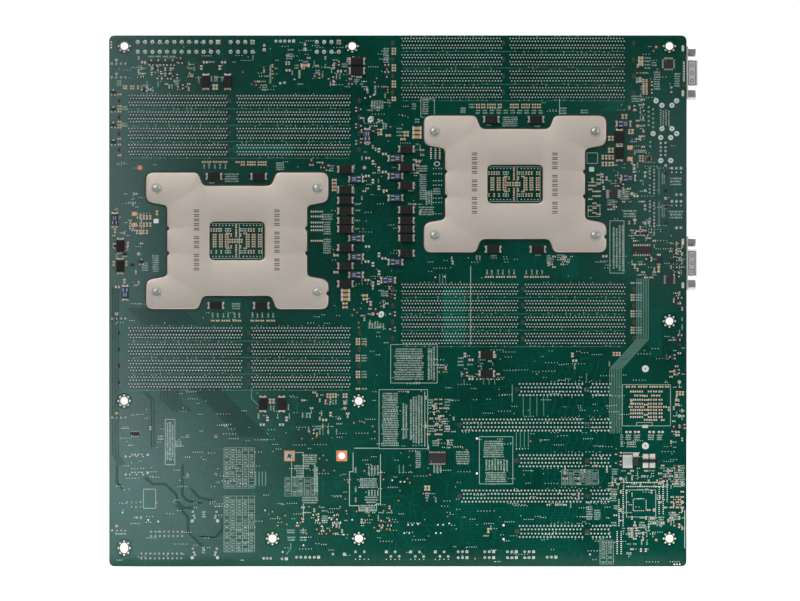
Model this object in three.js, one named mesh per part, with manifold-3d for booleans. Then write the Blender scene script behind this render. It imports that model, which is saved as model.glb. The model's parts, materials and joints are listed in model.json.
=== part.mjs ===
// A two-socket server mainboard, standing as it does in a tower case.
//
// Millimetres. The origin is the middle of the board on its solder face. The solder face lies in
// the plane Y = 0, the component face is at Y = BOARD.thickness, +X runs to the rear connectors
// and +Z to the top edge. Places on the board are therefore (x, z) and heights are y.

import * as THREE from 'three';
import Module from 'manifold-3d';
import { mergeVertices } from 'three/addons/utils/BufferGeometryUtils.js';

const wasm = await Module();
wasm.setup();

// ---------------------------------------------------------------- driving dimensions

const BOARD = { width: 331.5, height: 304.8, thickness: 1.6, corner: 2.2 };
const TOP = BOARD.thickness;
const CLEAR = 0.3;

const MOUNTING = { holeRadius: 2.15, ringRadius: 4.1, ringHeight: 0.05, sides: 16 };
const MOUNTING_HOLES = [
  [-157.0, 146.3], [-26.2, 146.3], [155.9, 146.3],
  [-157.1, -57.4], [-22.5, -57.4], [155.9, -11.6],
  [-157.1, -141.8], [-72.0, -136.4], [-22.4, -136.4], [155.9, -136.4],
];

const SOCKETS = { a: [-92.2, 34.5], b: [67.25, 67.1] };

const BACK_PLATE = {
  halfWidth: 52.4, halfHeight: 39.2, outer: -2.5, inner: -0.25,
  waistX: 40.2, waistZ: 31.6, notchTop: 22.5, notchFoot: 19.6,
  sideTop: 22.5, sideFoot: 20.3, cornerRadius: 4, notchRadius: 2.4,
  windowX: 15.8, windowZ: 11.1, windowRadius: 3,
};
const STUD = { x: 46.1, z: 29.8, headRadius: 2.8, headHeight: 0.9, shankRadius: 1.9, sides: 12 };

// The socket stack above the component face, by height.
const SOCKET_FRAME = { top: 4.6, halfX: 51, halfZ: 37.5, windowX: 40.5, windowZ: 30.25 };
const COOLER_POST = { radius: 2.6, top: 9 };
const HOUSING = {
  top: 4.8, floor: 2.8, halfX: 39.5, halfZ: 29.5, wellX: 35, wellZ: 25.5, middleX: 9, middleZ: 7,
};
const RAIL_FRAME = { low: 5.4, high: 6.2, heel: 0.6, endX: 40, halfZ: 24.7, windowX: 33, windowZ: 21.5 };
const RAIL_TAB = { length: 5, zLow: -20, zHigh: -12 };
const RAIL_HINGE = {
  x: -44, y: 5.8, pinRadius: 0.9, holeRadius: 1.2, earRadius: 2.1, pinLow: 23, earLow: 25, earHigh: 27.4,
};
const LOAD_PLATE = { low: 6.6, high: 8.2, windowX: 27, windowZ: 21 };
const LOAD_HINGE = {
  x: -48, y: 7.4, pinRadius: 1.1, holeRadius: 1.4, earRadius: 2.5, earLow: 18, earHigh: 21.6,
};
const LOAD_SCREWS = { hinge_upper: [-35.5, 33.7], hinge_lower: [-35.5, -33.7], free_end: [45.75, 0] };

// The captive screws stand backed off by their lift, so the plate they ride on is free to swing.
const LOAD_SCREW = {
  headRadius: 3, headHeight: 1.8, socketRadius: 1.4, shankRadius: 1.5, foot: 4.9, lift: 2.4,
};
const SCREW_HOLE = { radius: 2, floor: 2.2 };

const SLOT = {
  pitch: 9.43, width: 6.5, foot: 5, top: 10.8, towerTop: 15, peg: 3.4, towerLength: 7, farTower: 6,
};
const SLOT_GROOVE = { width: 1.6, floor: 4.4, key: 1.3, start: 3 };
const BANK_STRIP = { left: 0.5, right: 5.5, height: 0.6 };
const BANKS = {
  a: { firstZ: 115.0, left: -160.0, right: -22.2, key: -95.3 },
  b: { firstZ: 147.9, left: -2.96, right: 135.4, key: 61.8 },
  c: { firstZ: 6.75, left: -2.96, right: 135.4, key: 70.6 },
  d: { firstZ: -18.3, left: -160.2, right: -22.2, key: -86.8 },
};
const SLOTS_PER_BANK = 4;
const LATCH = {
  pivotIn: 2.2, pivotY: 8.5, halfWidth: 2, cheek: 0.9, cheekFoot: 4.5, pinRadius: 0.7, holeRadius: 1,
};
const PIN_GAP = 0.15;

const CARD_SLOT = {
  width: 7.5, top: 12.85, right: 124.6, key: 109.3, halfKey: 0.8, grooveWidth: 1.8, floor: 4.6, endWall: 1.4,
};
const CARD_SLOTS = [
  { z: -50.8, left: 66.5, long: false },
  { z: -71.2, left: 33.5, long: true },
  { z: -91.7, left: 66.5, long: false },
  { z: -112.0, left: 33.5, long: true },
  { z: -132.3, left: 66.5, long: false },
];
const CARD_CLIP = {
  tower: 8, towerFoot: 2.4, cheek: 1, cheekTop: 8, pivotIn: 4.4, pivotY: 5.4,
  halfWidth: 2.4, pinRadius: 0.7, holeRadius: 1,
};

const REAR_FACE = 165.9;
const D_SUB = {
  halfZ: 15.4, bodyFront: 153, bodyHalfZ: 10, bracketFront: 161.5, bodyTop: 13,
  flange: 0.8, flangeLow: 1.9, flangeTop: 14.4,
  axisY: 8.15, shellHalfTop: 8.4, shellHalfFoot: 7.3, shellHalfY: 4.2, wall: 0.5, screwZ: 12.5,
  deepRecess: 0.4, insertFace: 0.6,
};
const D_SUBS = {
  com_port: { z: 131.0, length: 5.5, hollow: true },
  vga_port: { z: 21.7, length: 5.0, hollow: false },
};
const JACKSCREW = { hexRadius: 2.9, length: 4.3, shankRadius: 1.4, holeRadius: 1.7, depth: 3.5 };

const NETWORK_JACK = { width: 11.9, low: 3.4, high: 10.4, depth: 13, stackLift: 16.4 };
const USB_OPENING = { width: 13.0, height: 5.4, depth: 10, low: 2.8, spacing: 7.4 };
const REAR_BLOCKS = {
  lan_usb_stack: { z: 105.5, halfZ: 9.2, front: 136, top: 30.6 },
  usb_stack: { z: 87.2, halfZ: 7.2, front: 148, top: 17.6 },
  lan_port_upper: { z: 68.6, halfZ: 8.2, front: 135, top: 15.2 },
  lan_port_lower: { z: 49.5, halfZ: 8.2, front: 135, top: 15.2 },
};

const POWER = { pitch: 4.2, rowGap: 5.5, cell: 3.5, top: 14.4, floor: 3.2, wall: 1.35, rowZ: 145.75 };
const POWER_RAMP = { halfX: 3, low: 9, high: 12, depth: 1.4 };
const POWER_CONNECTORS = {
  main_power_connector: { x: -126.2, columns: 12 },
  cpu_power_connector_a: { x: -89.65, columns: 4 },
  cpu_power_connector_b: { x: -40.2, columns: 4 },
};

const HEATSINK = { foot: 7, top: 27, base: 10.5, fins: 7, fin: 0.9, postRadius: 2, postInset: 4 };
const HEATSINKS = {
  regulator_heatsink_a: { x: -21, z: 44, halfX: 6.5, halfZ: 33 },
  regulator_heatsink_b: { x: -2, z: 54, halfX: 6.5, halfZ: 33 },
};

const DRIVE_SCREW = {
  x: -62.2, z: -88.9, headRadius: 2.65, headLow: -1.9, headHigh: -0.1, shankRadius: 1.3, shankTop: 4,
  recess: 0.8, recessHalfLength: 1.6, recessHalfWidth: 0.35, hole: 1.7,
};
const DRIVE_HOLE = { x: -32.2, z: -88.9, radius: 1.85 };

// ---------------------------------------------------------------- materials

const paint = (color, roughness, metalness) =>
  new THREE.MeshStandardMaterial({ color, roughness, metalness });

const MATERIALS = {
  board: paint(0x064c3c, 0.35, 0.0),
  backPlate: paint(0xc0b6ac, 0.45, 0.9),
  steel: paint(0xb4b6b8, 0.35, 0.95),
  screw: paint(0x8f8f90, 0.4, 0.95),
  housing: paint(0x2a2522, 0.6, 0.0),
  rail: paint(0x9a9c9e, 0.4, 0.9),
  memorySlot: paint(0x1b1c1f, 0.5, 0.0),
  latch: paint(0xd8d8d4, 0.5, 0.0),
  cardSlot: paint(0x202124, 0.5, 0.0),
  connectorShell: paint(0xbfc1c3, 0.3, 0.95),
  power: paint(0x232325, 0.55, 0.0),
  heatsink: paint(0x9fa3a6, 0.4, 0.85),
};

// ---------------------------------------------------------------- shapes and solids

function block(xLow, xHigh, yLow, yHigh, zLow, zHigh) {
  const box = new THREE.BoxGeometry(xHigh - xLow, yHigh - yLow, zHigh - zLow);
  box.translate((xLow + xHigh) / 2, (yLow + yHigh) / 2, (zLow + zHigh) / 2);
  return box;
}

// A flat outline in (x, z), given its thickness along Y.
function slab(outline, yLow, yHigh, curveSegments = 3) {
  const depth = yHigh - yLow;
  const plate = new THREE.ExtrudeGeometry(outline, { depth, bevelEnabled: false, curveSegments });
  plate.rotateX(Math.PI / 2);
  plate.translate(0, yHigh, 0);
  return plate;
}

// A side profile in (x, y), given its width along Z.
function profileBar(outline, zLow, zHigh) {
  const bar = new THREE.ExtrudeGeometry(outline, { depth: zHigh - zLow, bevelEnabled: false });
  bar.translate(0, 0, zLow);
  return bar;
}

// An end profile in (z, y), given its length along X.
function endBar(outline, xLow, xHigh) {
  const bar = new THREE.ExtrudeGeometry(outline, { depth: xHigh - xLow, bevelEnabled: false });
  bar.rotateY(-Math.PI / 2);
  bar.translate(xHigh, 0, 0);
  return bar;
}

function rod(axis, radius, from, to, across, sides) {
  const pin = new THREE.CylinderGeometry(radius, radius, to - from, sides);
  const middle = (from + to) / 2;
  if (axis === 'x') {
    pin.rotateZ(-Math.PI / 2);
    pin.translate(middle, across[0], across[1]);
  } else if (axis === 'y') {
    pin.translate(across[0], middle, across[1]);
  } else {
    pin.rotateX(Math.PI / 2);
    pin.translate(across[0], across[1], middle);
  }
  return pin;
}

function polygon(points) {
  return new THREE.Shape(points.map(([x, y]) => new THREE.Vector2(x, y)));
}

function rectangle(halfX, halfY, x = 0, y = 0) {
  return polygon([
    [x - halfX, y - halfY], [x + halfX, y - halfY], [x + halfX, y + halfY], [x - halfX, y + halfY],
  ]);
}

function circlePoints(x, y, radius, sides) {
  const step = (2 * Math.PI) / sides;
  const points = [];
  for (let i = 0; i < sides; i += 1) {
    points.push(new THREE.Vector2(x + radius * Math.cos(i * step), y + radius * Math.sin(i * step)));
  }
  return points;
}

function circle(x, y, radius, sides) {
  return new THREE.Shape(circlePoints(x, y, radius, sides));
}

function circularHole(x, y, radius, sides) {
  return new THREE.Path(circlePoints(x, y, radius, sides));
}

// Corners are [x, y, radius]; each one is rounded by a short curve between its two edges.
function roundedPolygon(corners) {
  const shape = new THREE.Shape();
  corners.forEach(([x, y, radius], i) => {
    const here = new THREE.Vector2(x, y);
    const before = new THREE.Vector2(...corners.at(i - 1).slice(0, 2));
    const after = new THREE.Vector2(...corners[(i + 1) % corners.length].slice(0, 2));
    const start = here.clone().add(before.sub(here).setLength(radius));
    const end = here.clone().add(after.sub(here).setLength(radius));
    if (i === 0) shape.moveTo(start.x, start.y);
    else shape.lineTo(start.x, start.y);
    shape.quadraticCurveTo(x, y, end.x, end.y);
  });
  shape.closePath();
  return shape;
}

function roundedRectangle(halfX, halfY, radius, x = 0, y = 0) {
  return roundedPolygon([
    [x - halfX, y - halfY, radius], [x + halfX, y - halfY, radius],
    [x + halfX, y + halfY, radius], [x - halfX, y + halfY, radius],
  ]);
}

function solidOf(geometry) {
  const bare = geometry.clone();
  bare.deleteAttribute('normal');
  bare.deleteAttribute('uv');
  const merged = mergeVertices(bare, 1e-4);
  const vertProperties = new Float32Array(merged.attributes.position.array);
  const triVerts = new Uint32Array(merged.index.array);
  return new wasm.Manifold(new wasm.Mesh({ numProp: 3, vertProperties, triVerts }));
}

function geometryOf(solid) {
  const mesh = solid.getMesh();
  const geometry = new THREE.BufferGeometry();
  geometry.setAttribute('position', new THREE.BufferAttribute(new Float32Array(mesh.vertProperties), 3));
  geometry.setIndex(new THREE.BufferAttribute(new Uint32Array(mesh.triVerts), 1));
  geometry.computeVertexNormals();
  return geometry;
}

// Joins the first list of geometries and cuts the second list out of them.
function made(joined, cut = []) {
  let solid = solidOf(joined[0]);
  joined.slice(1).forEach((piece) => {
    solid = solid.add(solidOf(piece));
  });
  cut.forEach((piece) => {
    solid = solid.subtract(solidOf(piece));
  });
  return geometryOf(solid);
}

const object = new THREE.Group();

function place(name, geometry, material, position = [0, 0, 0]) {
  const mesh = new THREE.Mesh(geometry, material);
  mesh.name = name;
  mesh.position.set(...position);
  object.add(mesh);
}

// ---------------------------------------------------------------- bare board

function boardOutline() {
  const halfX = BOARD.width / 2;
  const halfZ = BOARD.height / 2;
  const cut = BOARD.corner;
  return polygon([
    [-halfX + cut, -halfZ], [halfX - cut, -halfZ], [halfX, -halfZ + cut], [halfX, halfZ - cut],
    [halfX - cut, halfZ], [-halfX + cut, halfZ], [-halfX, halfZ - cut], [-halfX, -halfZ + cut],
  ]);
}

function boardGeometry() {
  const outline = boardOutline();
  const sides = MOUNTING.sides;
  MOUNTING_HOLES.forEach(([x, z]) => {
    outline.holes.push(circularHole(x, z, MOUNTING.holeRadius, sides));
  });
  Object.values(SOCKETS).forEach(([x, z]) => {
    for (const side of [-1, 1]) {
      for (const end of [-1, 1]) {
        const radius = STUD.shankRadius + CLEAR;
        outline.holes.push(circularHole(x + end * STUD.x, z + side * STUD.z, radius, STUD.sides));
      }
    }
  });
  outline.holes.push(circularHole(DRIVE_SCREW.x, DRIVE_SCREW.z, DRIVE_SCREW.hole, 12));
  outline.holes.push(circularHole(DRIVE_HOLE.x, DRIVE_HOLE.z, DRIVE_HOLE.radius, 12));

  // Plated rings that a standoff bears on, standing a little proud of the solder face.
  const rings = MOUNTING_HOLES.map(([x, z]) => {
    const ring = circle(x, z, MOUNTING.ringRadius, 8);
    ring.holes.push(circularHole(x, z, MOUNTING.holeRadius, sides));
    return slab(ring, -MOUNTING.ringHeight, TOP / 2);
  });
  return made([slab(outline, 0, TOP), ...rings]);
}

place('pcb', boardGeometry(), MATERIALS.board);

// ---------------------------------------------------------------- processor sockets

function backPlateOutline() {
  const p = BACK_PLATE;
  const quarter = [
    [p.waistX, p.sideFoot, p.notchRadius],
    [p.halfWidth, p.sideTop, p.cornerRadius],
    [p.halfWidth, p.halfHeight, p.cornerRadius],
    [p.notchTop, p.halfHeight, p.notchRadius],
    [p.notchFoot, p.waistZ, p.notchRadius],
  ];
  const mirrored = (points, signX, signZ) => points.map(([x, z, r]) => [signX * x, signZ * z, r]);
  return roundedPolygon([
    ...quarter,
    ...mirrored([...quarter].reverse(), -1, 1),
    ...mirrored(quarter, -1, -1),
    ...mirrored([...quarter].reverse(), 1, -1),
  ]);
}

function backPlateGeometry() {
  const p = BACK_PLATE;
  const outline = backPlateOutline();
  outline.holes.push(roundedRectangle(p.windowX, p.windowZ, p.windowRadius));
  const pieces = [slab(outline, p.outer, p.inner)];
  for (const end of [-1, 1]) {
    for (const side of [-1, 1]) {
      const at = [end * STUD.x, side * STUD.z];
      const crown = new THREE.CylinderGeometry(STUD.headRadius, STUD.headRadius * 0.7, 0.45, STUD.sides);
      crown.translate(at[0], p.outer - STUD.headHeight + 0.225, at[1]);
      pieces.push(crown);
      const shoulder = p.outer - STUD.headHeight + 0.45;
      pieces.push(rod('y', STUD.headRadius, shoulder, p.outer + 0.5, at, STUD.sides));
      pieces.push(rod('y', STUD.shankRadius, p.inner - 0.5, TOP - 0.1, at, STUD.sides));
    }
  }
  return made(pieces);
}

// An ear for a hinge along Z: a rounded block with the pin's hole through it.
function hingeEar(hinge, foot, side) {
  const radius = hinge.earRadius;
  const ear = polygon([
    [hinge.x - radius, foot], [hinge.x + radius, foot], [hinge.x + radius, hinge.y],
    [hinge.x + radius * 0.6, hinge.y + radius], [hinge.x - radius * 0.6, hinge.y + radius],
    [hinge.x - radius, hinge.y],
  ]);
  ear.holes.push(circularHole(hinge.x, hinge.y, hinge.holeRadius, 8));
  const ends = [side * hinge.earLow, side * hinge.earHigh].sort((one, two) => one - two);
  return profileBar(ear, ends[0], ends[1]);
}

function socketFrameGeometry() {
  const f = SOCKET_FRAME;
  const outline = roundedRectangle(f.halfX, f.halfZ, 3);
  outline.holes.push(rectangle(f.windowX, f.windowZ));
  const pieces = [slab(outline, TOP, f.top, 2)];
  for (const side of [-1, 1]) {
    for (const end of [-1, 1]) {
      const at = [end * STUD.x, side * STUD.z];
      pieces.push(rod('y', COOLER_POST.radius, f.top - 0.5, COOLER_POST.top, at, STUD.sides));
    }
    pieces.push(hingeEar(RAIL_HINGE, f.top - 0.5, side));
    pieces.push(hingeEar(LOAD_HINGE, f.top - 0.5, side));
  }
  const screwHoles = Object.values(LOAD_SCREWS).map((at) =>
    rod('y', SCREW_HOLE.radius, SCREW_HOLE.floor, f.top + 1, at, 10));
  return made(pieces, screwHoles);
}

function housingGeometry() {
  const h = HOUSING;
  const body = block(-h.halfX, h.halfX, TOP, h.top, -h.halfZ, h.halfZ);
  const well = block(-h.wellX, h.wellX, h.floor, h.top + 1, -h.wellZ, h.wellZ);
  const middle = block(-h.middleX, h.middleX, TOP - 1, h.floor + 1, -h.middleZ, h.middleZ);
  return made([body], [well, middle]);
}

function railFrameGeometry() {
  const r = RAIL_FRAME;
  const heel = RAIL_HINGE.x - r.heel;
  const outline = polygon([[heel, -r.halfZ], [r.endX, -r.halfZ], [r.endX, r.halfZ], [heel, r.halfZ]]);
  outline.holes.push(rectangle(r.windowX, r.windowZ));
  const pinEnd = RAIL_HINGE.earHigh - CLEAR;
  const pins = [-1, 1].map((side) => {
    const ends = [side * RAIL_HINGE.pinLow, side * pinEnd].sort((one, two) => one - two);
    return rod('z', RAIL_HINGE.pinRadius, ends[0], ends[1], [RAIL_HINGE.x, RAIL_HINGE.y], 8);
  });
  const tab = RAIL_TAB;
  const pullTab = block(r.endX - 1, r.endX + tab.length, r.low, r.high, tab.zLow, tab.zHigh);
  return made([slab(outline, r.low, r.high), ...pins, pullTab]);
}

function loadPlateGeometry() {
  const p = LOAD_PLATE;
  const half = [
    [LOAD_HINGE.x - 0.8, 17.6], [-40, 17.6], [-40, 37], [-31, 37], [-31, 29], [36, 29],
    [40, 25], [40, 8], [50, 8],
  ];
  const other = half.map(([x, z]) => [x, -z]).reverse();
  const outline = polygon([...half, ...other]);
  outline.holes.push(roundedRectangle(p.windowX, p.windowZ, 3));
  Object.values(LOAD_SCREWS).forEach(([x, z]) => {
    outline.holes.push(circularHole(x, z, LOAD_SCREW.shankRadius + CLEAR, 10));
  });
  const pinEnd = LOAD_HINGE.earHigh;
  const pin = rod('z', LOAD_HINGE.pinRadius, -pinEnd, pinEnd, [LOAD_HINGE.x, LOAD_HINGE.y], 8);
  return made([slab(outline, p.low, p.high, 2), pin]);
}

function loadScrewGeometry() {
  const s = LOAD_SCREW;
  const seat = LOAD_PLATE.high + CLEAR + s.lift;
  const head = circle(0, 0, s.headRadius, 12);
  head.holes.push(circularHole(0, 0, s.socketRadius, 6));
  const crown = slab(head, seat + 0.6, seat + s.headHeight);
  const washer = rod('y', s.headRadius, seat, seat + 0.7, [0, 0], 12);
  const shank = rod('y', s.shankRadius, s.foot, seat + 0.3, [0, 0], 10);
  return made([crown, washer, shank]);
}

Object.entries(SOCKETS).forEach(([name, [x, z]]) => {
  place(`back_plate_${name}`, backPlateGeometry(), MATERIALS.backPlate, [x, 0, z]);
  place(`socket_frame_${name}`, socketFrameGeometry(), MATERIALS.steel, [x, 0, z]);
  place(`socket_housing_${name}`, housingGeometry(), MATERIALS.housing, [x, 0, z]);
  place(`rail_frame_${name}`, railFrameGeometry(), MATERIALS.rail, [x, 0, z]);
  place(`load_plate_${name}`, loadPlateGeometry(), MATERIALS.steel, [x, 0, z]);
  Object.entries(LOAD_SCREWS).forEach(([corner, [dx, dz]]) => {
    const at = [x + dx, 0, z + dz];
    place(`load_screw_${name}_${corner}`, loadScrewGeometry(), MATERIALS.screw, at);
  });
});

// ---------------------------------------------------------------- memory slots and latches

function memorySlotPieces(bank, z) {
  const half = SLOT.width / 2;
  const left = bank.left - SLOT.peg;
  const right = bank.right + SLOT.peg;
  const bodyEnd = right - SLOT.towerLength;
  const cheekHalf = (SLOT.towerTop - LATCH.cheekFoot) / 2;
  const cheekMiddle = [right - SLOT.towerLength / 2, SLOT.towerTop - cheekHalf];
  const cheek = rectangle(SLOT.towerLength / 2 - 0.5, cheekHalf, ...cheekMiddle);
  cheek.holes.push(circularHole(right - LATCH.pivotIn, LATCH.pivotY, LATCH.holeRadius, 6));
  const inner = half - LATCH.cheek;
  return {
    joined: [
      block(left, right, TOP, SLOT.foot, z - half, z + half),
      block(left, bodyEnd, SLOT.foot - 0.5, SLOT.top, z - half, z + half),
      block(left, left + SLOT.farTower, SLOT.top - 0.5, SLOT.towerTop, z - half, z + half),
      profileBar(cheek, z - half, z - inner),
      profileBar(cheek, z + inner, z + half),
    ],
    cut: memoryGrooves(bank, z, left, bodyEnd),
  };
}

// The card's groove is open at the latch and stops at the key wall and in the far tower.
function memoryGrooves(bank, z, left, bodyEnd) {
  const g = SLOT_GROOVE;
  const low = z - g.width / 2;
  const high = z + g.width / 2;
  return [
    block(left + g.start, bank.key - g.key / 2, g.floor, SLOT.towerTop + 1, low, high),
    block(bank.key + g.key / 2, bodyEnd + 1, g.floor, SLOT.towerTop + 1, low, high),
  ];
}

function slotHeights(bank) {
  return Array.from({ length: SLOTS_PER_BANK }, (_, i) => bank.firstZ - i * SLOT.pitch);
}

// The four slots of a bank are one moulding: a thin foot strip ties them together at the far end.
function bankGeometry(bank) {
  const rows = slotHeights(bank);
  const slots = rows.map((z) => memorySlotPieces(bank, z));
  const left = bank.left - SLOT.peg;
  const { left: from, right: to, height } = BANK_STRIP;
  const strip = block(left + from, left + to, TOP, TOP + height, rows.at(-1), rows[0]);
  return made([...slots.flatMap((slot) => slot.joined), strip], slots.flatMap((slot) => slot.cut));
}

// The latch about its own pivot: an ejector foot, a stem, a hook over the card and a finger tab.
function latchGeometry() {
  const profile = polygon([
    [-3.2, -2.4], [1.6, -2.4], [1.8, 6.0], [4.6, 9.6], [4.6, 11.4], [0.6, 11.4],
    [-1.6, 9.2], [-3.4, 9.2], [-3.4, 7.6], [-1.4, 7.0], [-1.4, 0.2], [-3.2, -0.6],
  ]);
  const w = LATCH.halfWidth;
  const pinEnd = SLOT.width / 2 - PIN_GAP;
  return made([
    profileBar(profile, -w, w),
    rod('z', LATCH.pinRadius, -pinEnd, pinEnd, [0, 0], 6),
  ]);
}

Object.entries(BANKS).forEach(([name, bank]) => {
  place(`memory_bank_${name}`, bankGeometry(bank), MATERIALS.memorySlot);
  slotHeights(bank).forEach((z, i) => {
    const at = [bank.right + SLOT.peg - LATCH.pivotIn, LATCH.pivotY, z];
    place(`memory_latch_${name}${i + 1}`, latchGeometry(), MATERIALS.latch, at);
  });
});

// ---------------------------------------------------------------- expansion card slots

function cardSlotGeometry({ z, left, long }) {
  const s = CARD_SLOT;
  const half = s.width / 2;
  const groove = s.grooveWidth / 2;
  const joined = [block(left, s.right, TOP, s.top, z - half, z + half)];
  if (long) {
    const c = CARD_CLIP;
    const towerEnd = left - c.tower;
    joined.push(block(towerEnd, left + 1, TOP, c.towerFoot, z - half, z + half));
    const cheekFoot = c.towerFoot - 0.4;
    const cheek = polygon([
      [towerEnd, cheekFoot], [left + 0.5, cheekFoot], [left + 0.5, c.cheekTop], [towerEnd, c.cheekTop],
    ]);
    cheek.holes.push(circularHole(left - c.pivotIn, c.pivotY, c.holeRadius, 6));
    joined.push(profileBar(cheek, z - half, z - half + c.cheek));
    joined.push(profileBar(cheek, z + half - c.cheek, z + half));
  }
  const cuts = [
    block(left + s.endWall, s.key - s.halfKey, s.floor, s.top + 1, z - groove, z + groove),
    block(s.key + s.halfKey, s.right - s.endWall, s.floor, s.top + 1, z - groove, z + groove),
  ];
  return made(joined, cuts);
}

function cardClipGeometry() {
  const profile = polygon([
    [-1.5, -1.8], [1.5, -1.8], [1.5, 5.0], [3.6, 6.6], [3.6, 7.8], [0.4, 8.6], [-4.2, 9.6],
    [-4.2, 8.4], [-1.5, 6.2],
  ]);
  const w = CARD_CLIP.halfWidth;
  const pinEnd = CARD_SLOT.width / 2 - PIN_GAP;
  return made([
    profileBar(profile, -w, w),
    rod('z', CARD_CLIP.pinRadius, -pinEnd, pinEnd, [0, 0], 6),
  ]);
}

CARD_SLOTS.forEach((slot, i) => {
  place(`card_slot_${i + 1}`, cardSlotGeometry(slot), MATERIALS.cardSlot);
  if (slot.long) {
    const at = [slot.left - CARD_CLIP.pivotIn, CARD_CLIP.pivotY, slot.z];
    place(`card_clip_${i + 1}`, cardClipGeometry(), MATERIALS.latch, at);
  }
});

// ---------------------------------------------------------------- rear connectors

function dShape(z, grow) {
  const d = D_SUB;
  return polygon([
    [z - d.shellHalfFoot - grow, d.axisY - d.shellHalfY - grow],
    [z + d.shellHalfFoot + grow, d.axisY - d.shellHalfY - grow],
    [z + d.shellHalfTop + grow, d.axisY + d.shellHalfY + grow],
    [z - d.shellHalfTop - grow, d.axisY + d.shellHalfY + grow],
  ]);
}

function dSubGeometry({ z, length, hollow }) {
  const d = D_SUB;
  const face = REAR_FACE + d.flange;
  const joined = [
    block(d.bodyFront, REAR_FACE + 0.2, TOP, d.bodyTop, z - d.bodyHalfZ, z + d.bodyHalfZ),
    block(d.bracketFront, REAR_FACE + 0.2, TOP, d.bodyTop, z - d.halfZ, z + d.halfZ),
    block(REAR_FACE, face, d.flangeLow, d.flangeTop, z - d.halfZ, z + d.halfZ),
    endBar(dShape(z, 0), face - 0.3, face + length),
  ];
  const cuts = [-1, 1].map((side) => {
    const across = [d.axisY, z + side * d.screwZ];
    return rod('x', JACKSCREW.holeRadius, face - JACKSCREW.depth - 1, face + 1, across, 8);
  });
  const recess = hollow ? d.deepRecess : length - d.insertFace;
  cuts.push(endBar(dShape(z, -d.wall), face + recess, face + length + 1));
  return made(joined, cuts);
}

// A hexagonal pillar screw with a blind threaded hole for a cable plug's own screw.
function jackscrewGeometry() {
  const j = JACKSCREW;
  const low = REAR_FACE + D_SUB.flange + CLEAR;
  const hex = rod('x', j.hexRadius, low, low + j.length, [0, 0], 6);
  const shank = rod('x', j.shankRadius, low - j.depth, low + 0.5, [0, 0], 8);
  const bore = rod('x', j.shankRadius, low + 1, low + j.length + 1, [0, 0], 8);
  return made([hex, shank], [bore]);
}

Object.entries(D_SUBS).forEach(([name, port]) => {
  place(name, dSubGeometry(port), MATERIALS.connectorShell);
  ['lower', 'upper'].forEach((which, i) => {
    const z = port.z + (i ? 1 : -1) * D_SUB.screwZ;
    const at = [0, D_SUB.axisY, z];
    place(`${name}_jackscrew_${which}`, jackscrewGeometry(), MATERIALS.steel, at);
  });
});

function rearOpening(z, width, low, high, depth) {
  return block(REAR_FACE - depth, REAR_FACE + 1, low, high, z - width / 2, z + width / 2);
}

function usbOpenings(z) {
  const u = USB_OPENING;
  return [u.low, u.low + u.spacing].map((low) => rearOpening(z, u.width, low, low + u.height, u.depth));
}

function rearBlockGeometry(name) {
  const { z, halfZ, front, top } = REAR_BLOCKS[name];
  const jack = NETWORK_JACK;
  const body = block(front, REAR_FACE, TOP, top, z - halfZ, z + halfZ);
  if (name === 'usb_stack') return made([body], usbOpenings(z));
  const isStack = name === 'lan_usb_stack';
  const lift = isStack ? jack.stackLift : 0;
  const jackHole = rearOpening(z, jack.width, jack.low + lift, jack.high + lift, jack.depth);
  return made([body], isStack ? [jackHole, ...usbOpenings(z)] : [jackHole]);
}

Object.keys(REAR_BLOCKS).forEach((name) => {
  place(name, rearBlockGeometry(name), MATERIALS.connectorShell);
});

// ---------------------------------------------------------------- power connectors

function powerConnectorGeometry({ x, columns }) {
  const p = POWER;
  const halfX = ((columns - 1) * p.pitch + p.cell) / 2 + p.wall;
  const halfZ = (p.rowGap + p.cell) / 2 + p.wall;
  const body = block(x - halfX, x + halfX, TOP, p.top, p.rowZ - halfZ, p.rowZ + halfZ);
  const { halfX: rampHalf, low: rampLow, high: rampHigh, depth } = POWER_RAMP;
  const side = p.rowZ - halfZ;
  const ramp = block(x - rampHalf, x + rampHalf, rampLow, rampHigh, side - depth, side + 0.5);
  const cells = [];
  for (let column = 0; column < columns; column += 1) {
    const left = x + (column - (columns - 1) / 2) * p.pitch - p.cell / 2;
    for (const row of [-1, 1]) {
      const low = p.rowZ + (row * p.rowGap) / 2 - p.cell / 2;
      cells.push(block(left, left + p.cell, p.floor, p.top + 1, low, low + p.cell));
    }
  }
  return made([body, ramp], cells);
}

Object.entries(POWER_CONNECTORS).forEach(([name, connector]) => {
  place(name, powerConnectorGeometry(connector), MATERIALS.power);
});

// ---------------------------------------------------------------- regulator heatsinks

function heatsinkGeometry({ x, z, halfX, halfZ }) {
  const h = HEATSINK;
  const pieces = [block(x - halfX, x + halfX, h.foot, h.base, z - halfZ, z + halfZ)];
  for (let i = 0; i < h.fins; i += 1) {
    const finX = x - halfX + h.fin / 2 + (i * (2 * halfX - h.fin)) / (h.fins - 1);
    pieces.push(block(finX - h.fin / 2, finX + h.fin / 2, h.base - 0.5, h.top, z - halfZ, z + halfZ));
  }
  for (const side of [-1, 1]) {
    const at = [x, z + side * (halfZ - h.postInset)];
    pieces.push(rod('y', h.postRadius, TOP, h.foot + 0.5, at, 8));
  }
  return made(pieces);
}

Object.entries(HEATSINKS).forEach(([name, heatsink]) => {
  place(name, heatsinkGeometry(heatsink), MATERIALS.heatsink);
});

// ---------------------------------------------------------------- drive standoff screw

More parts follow.
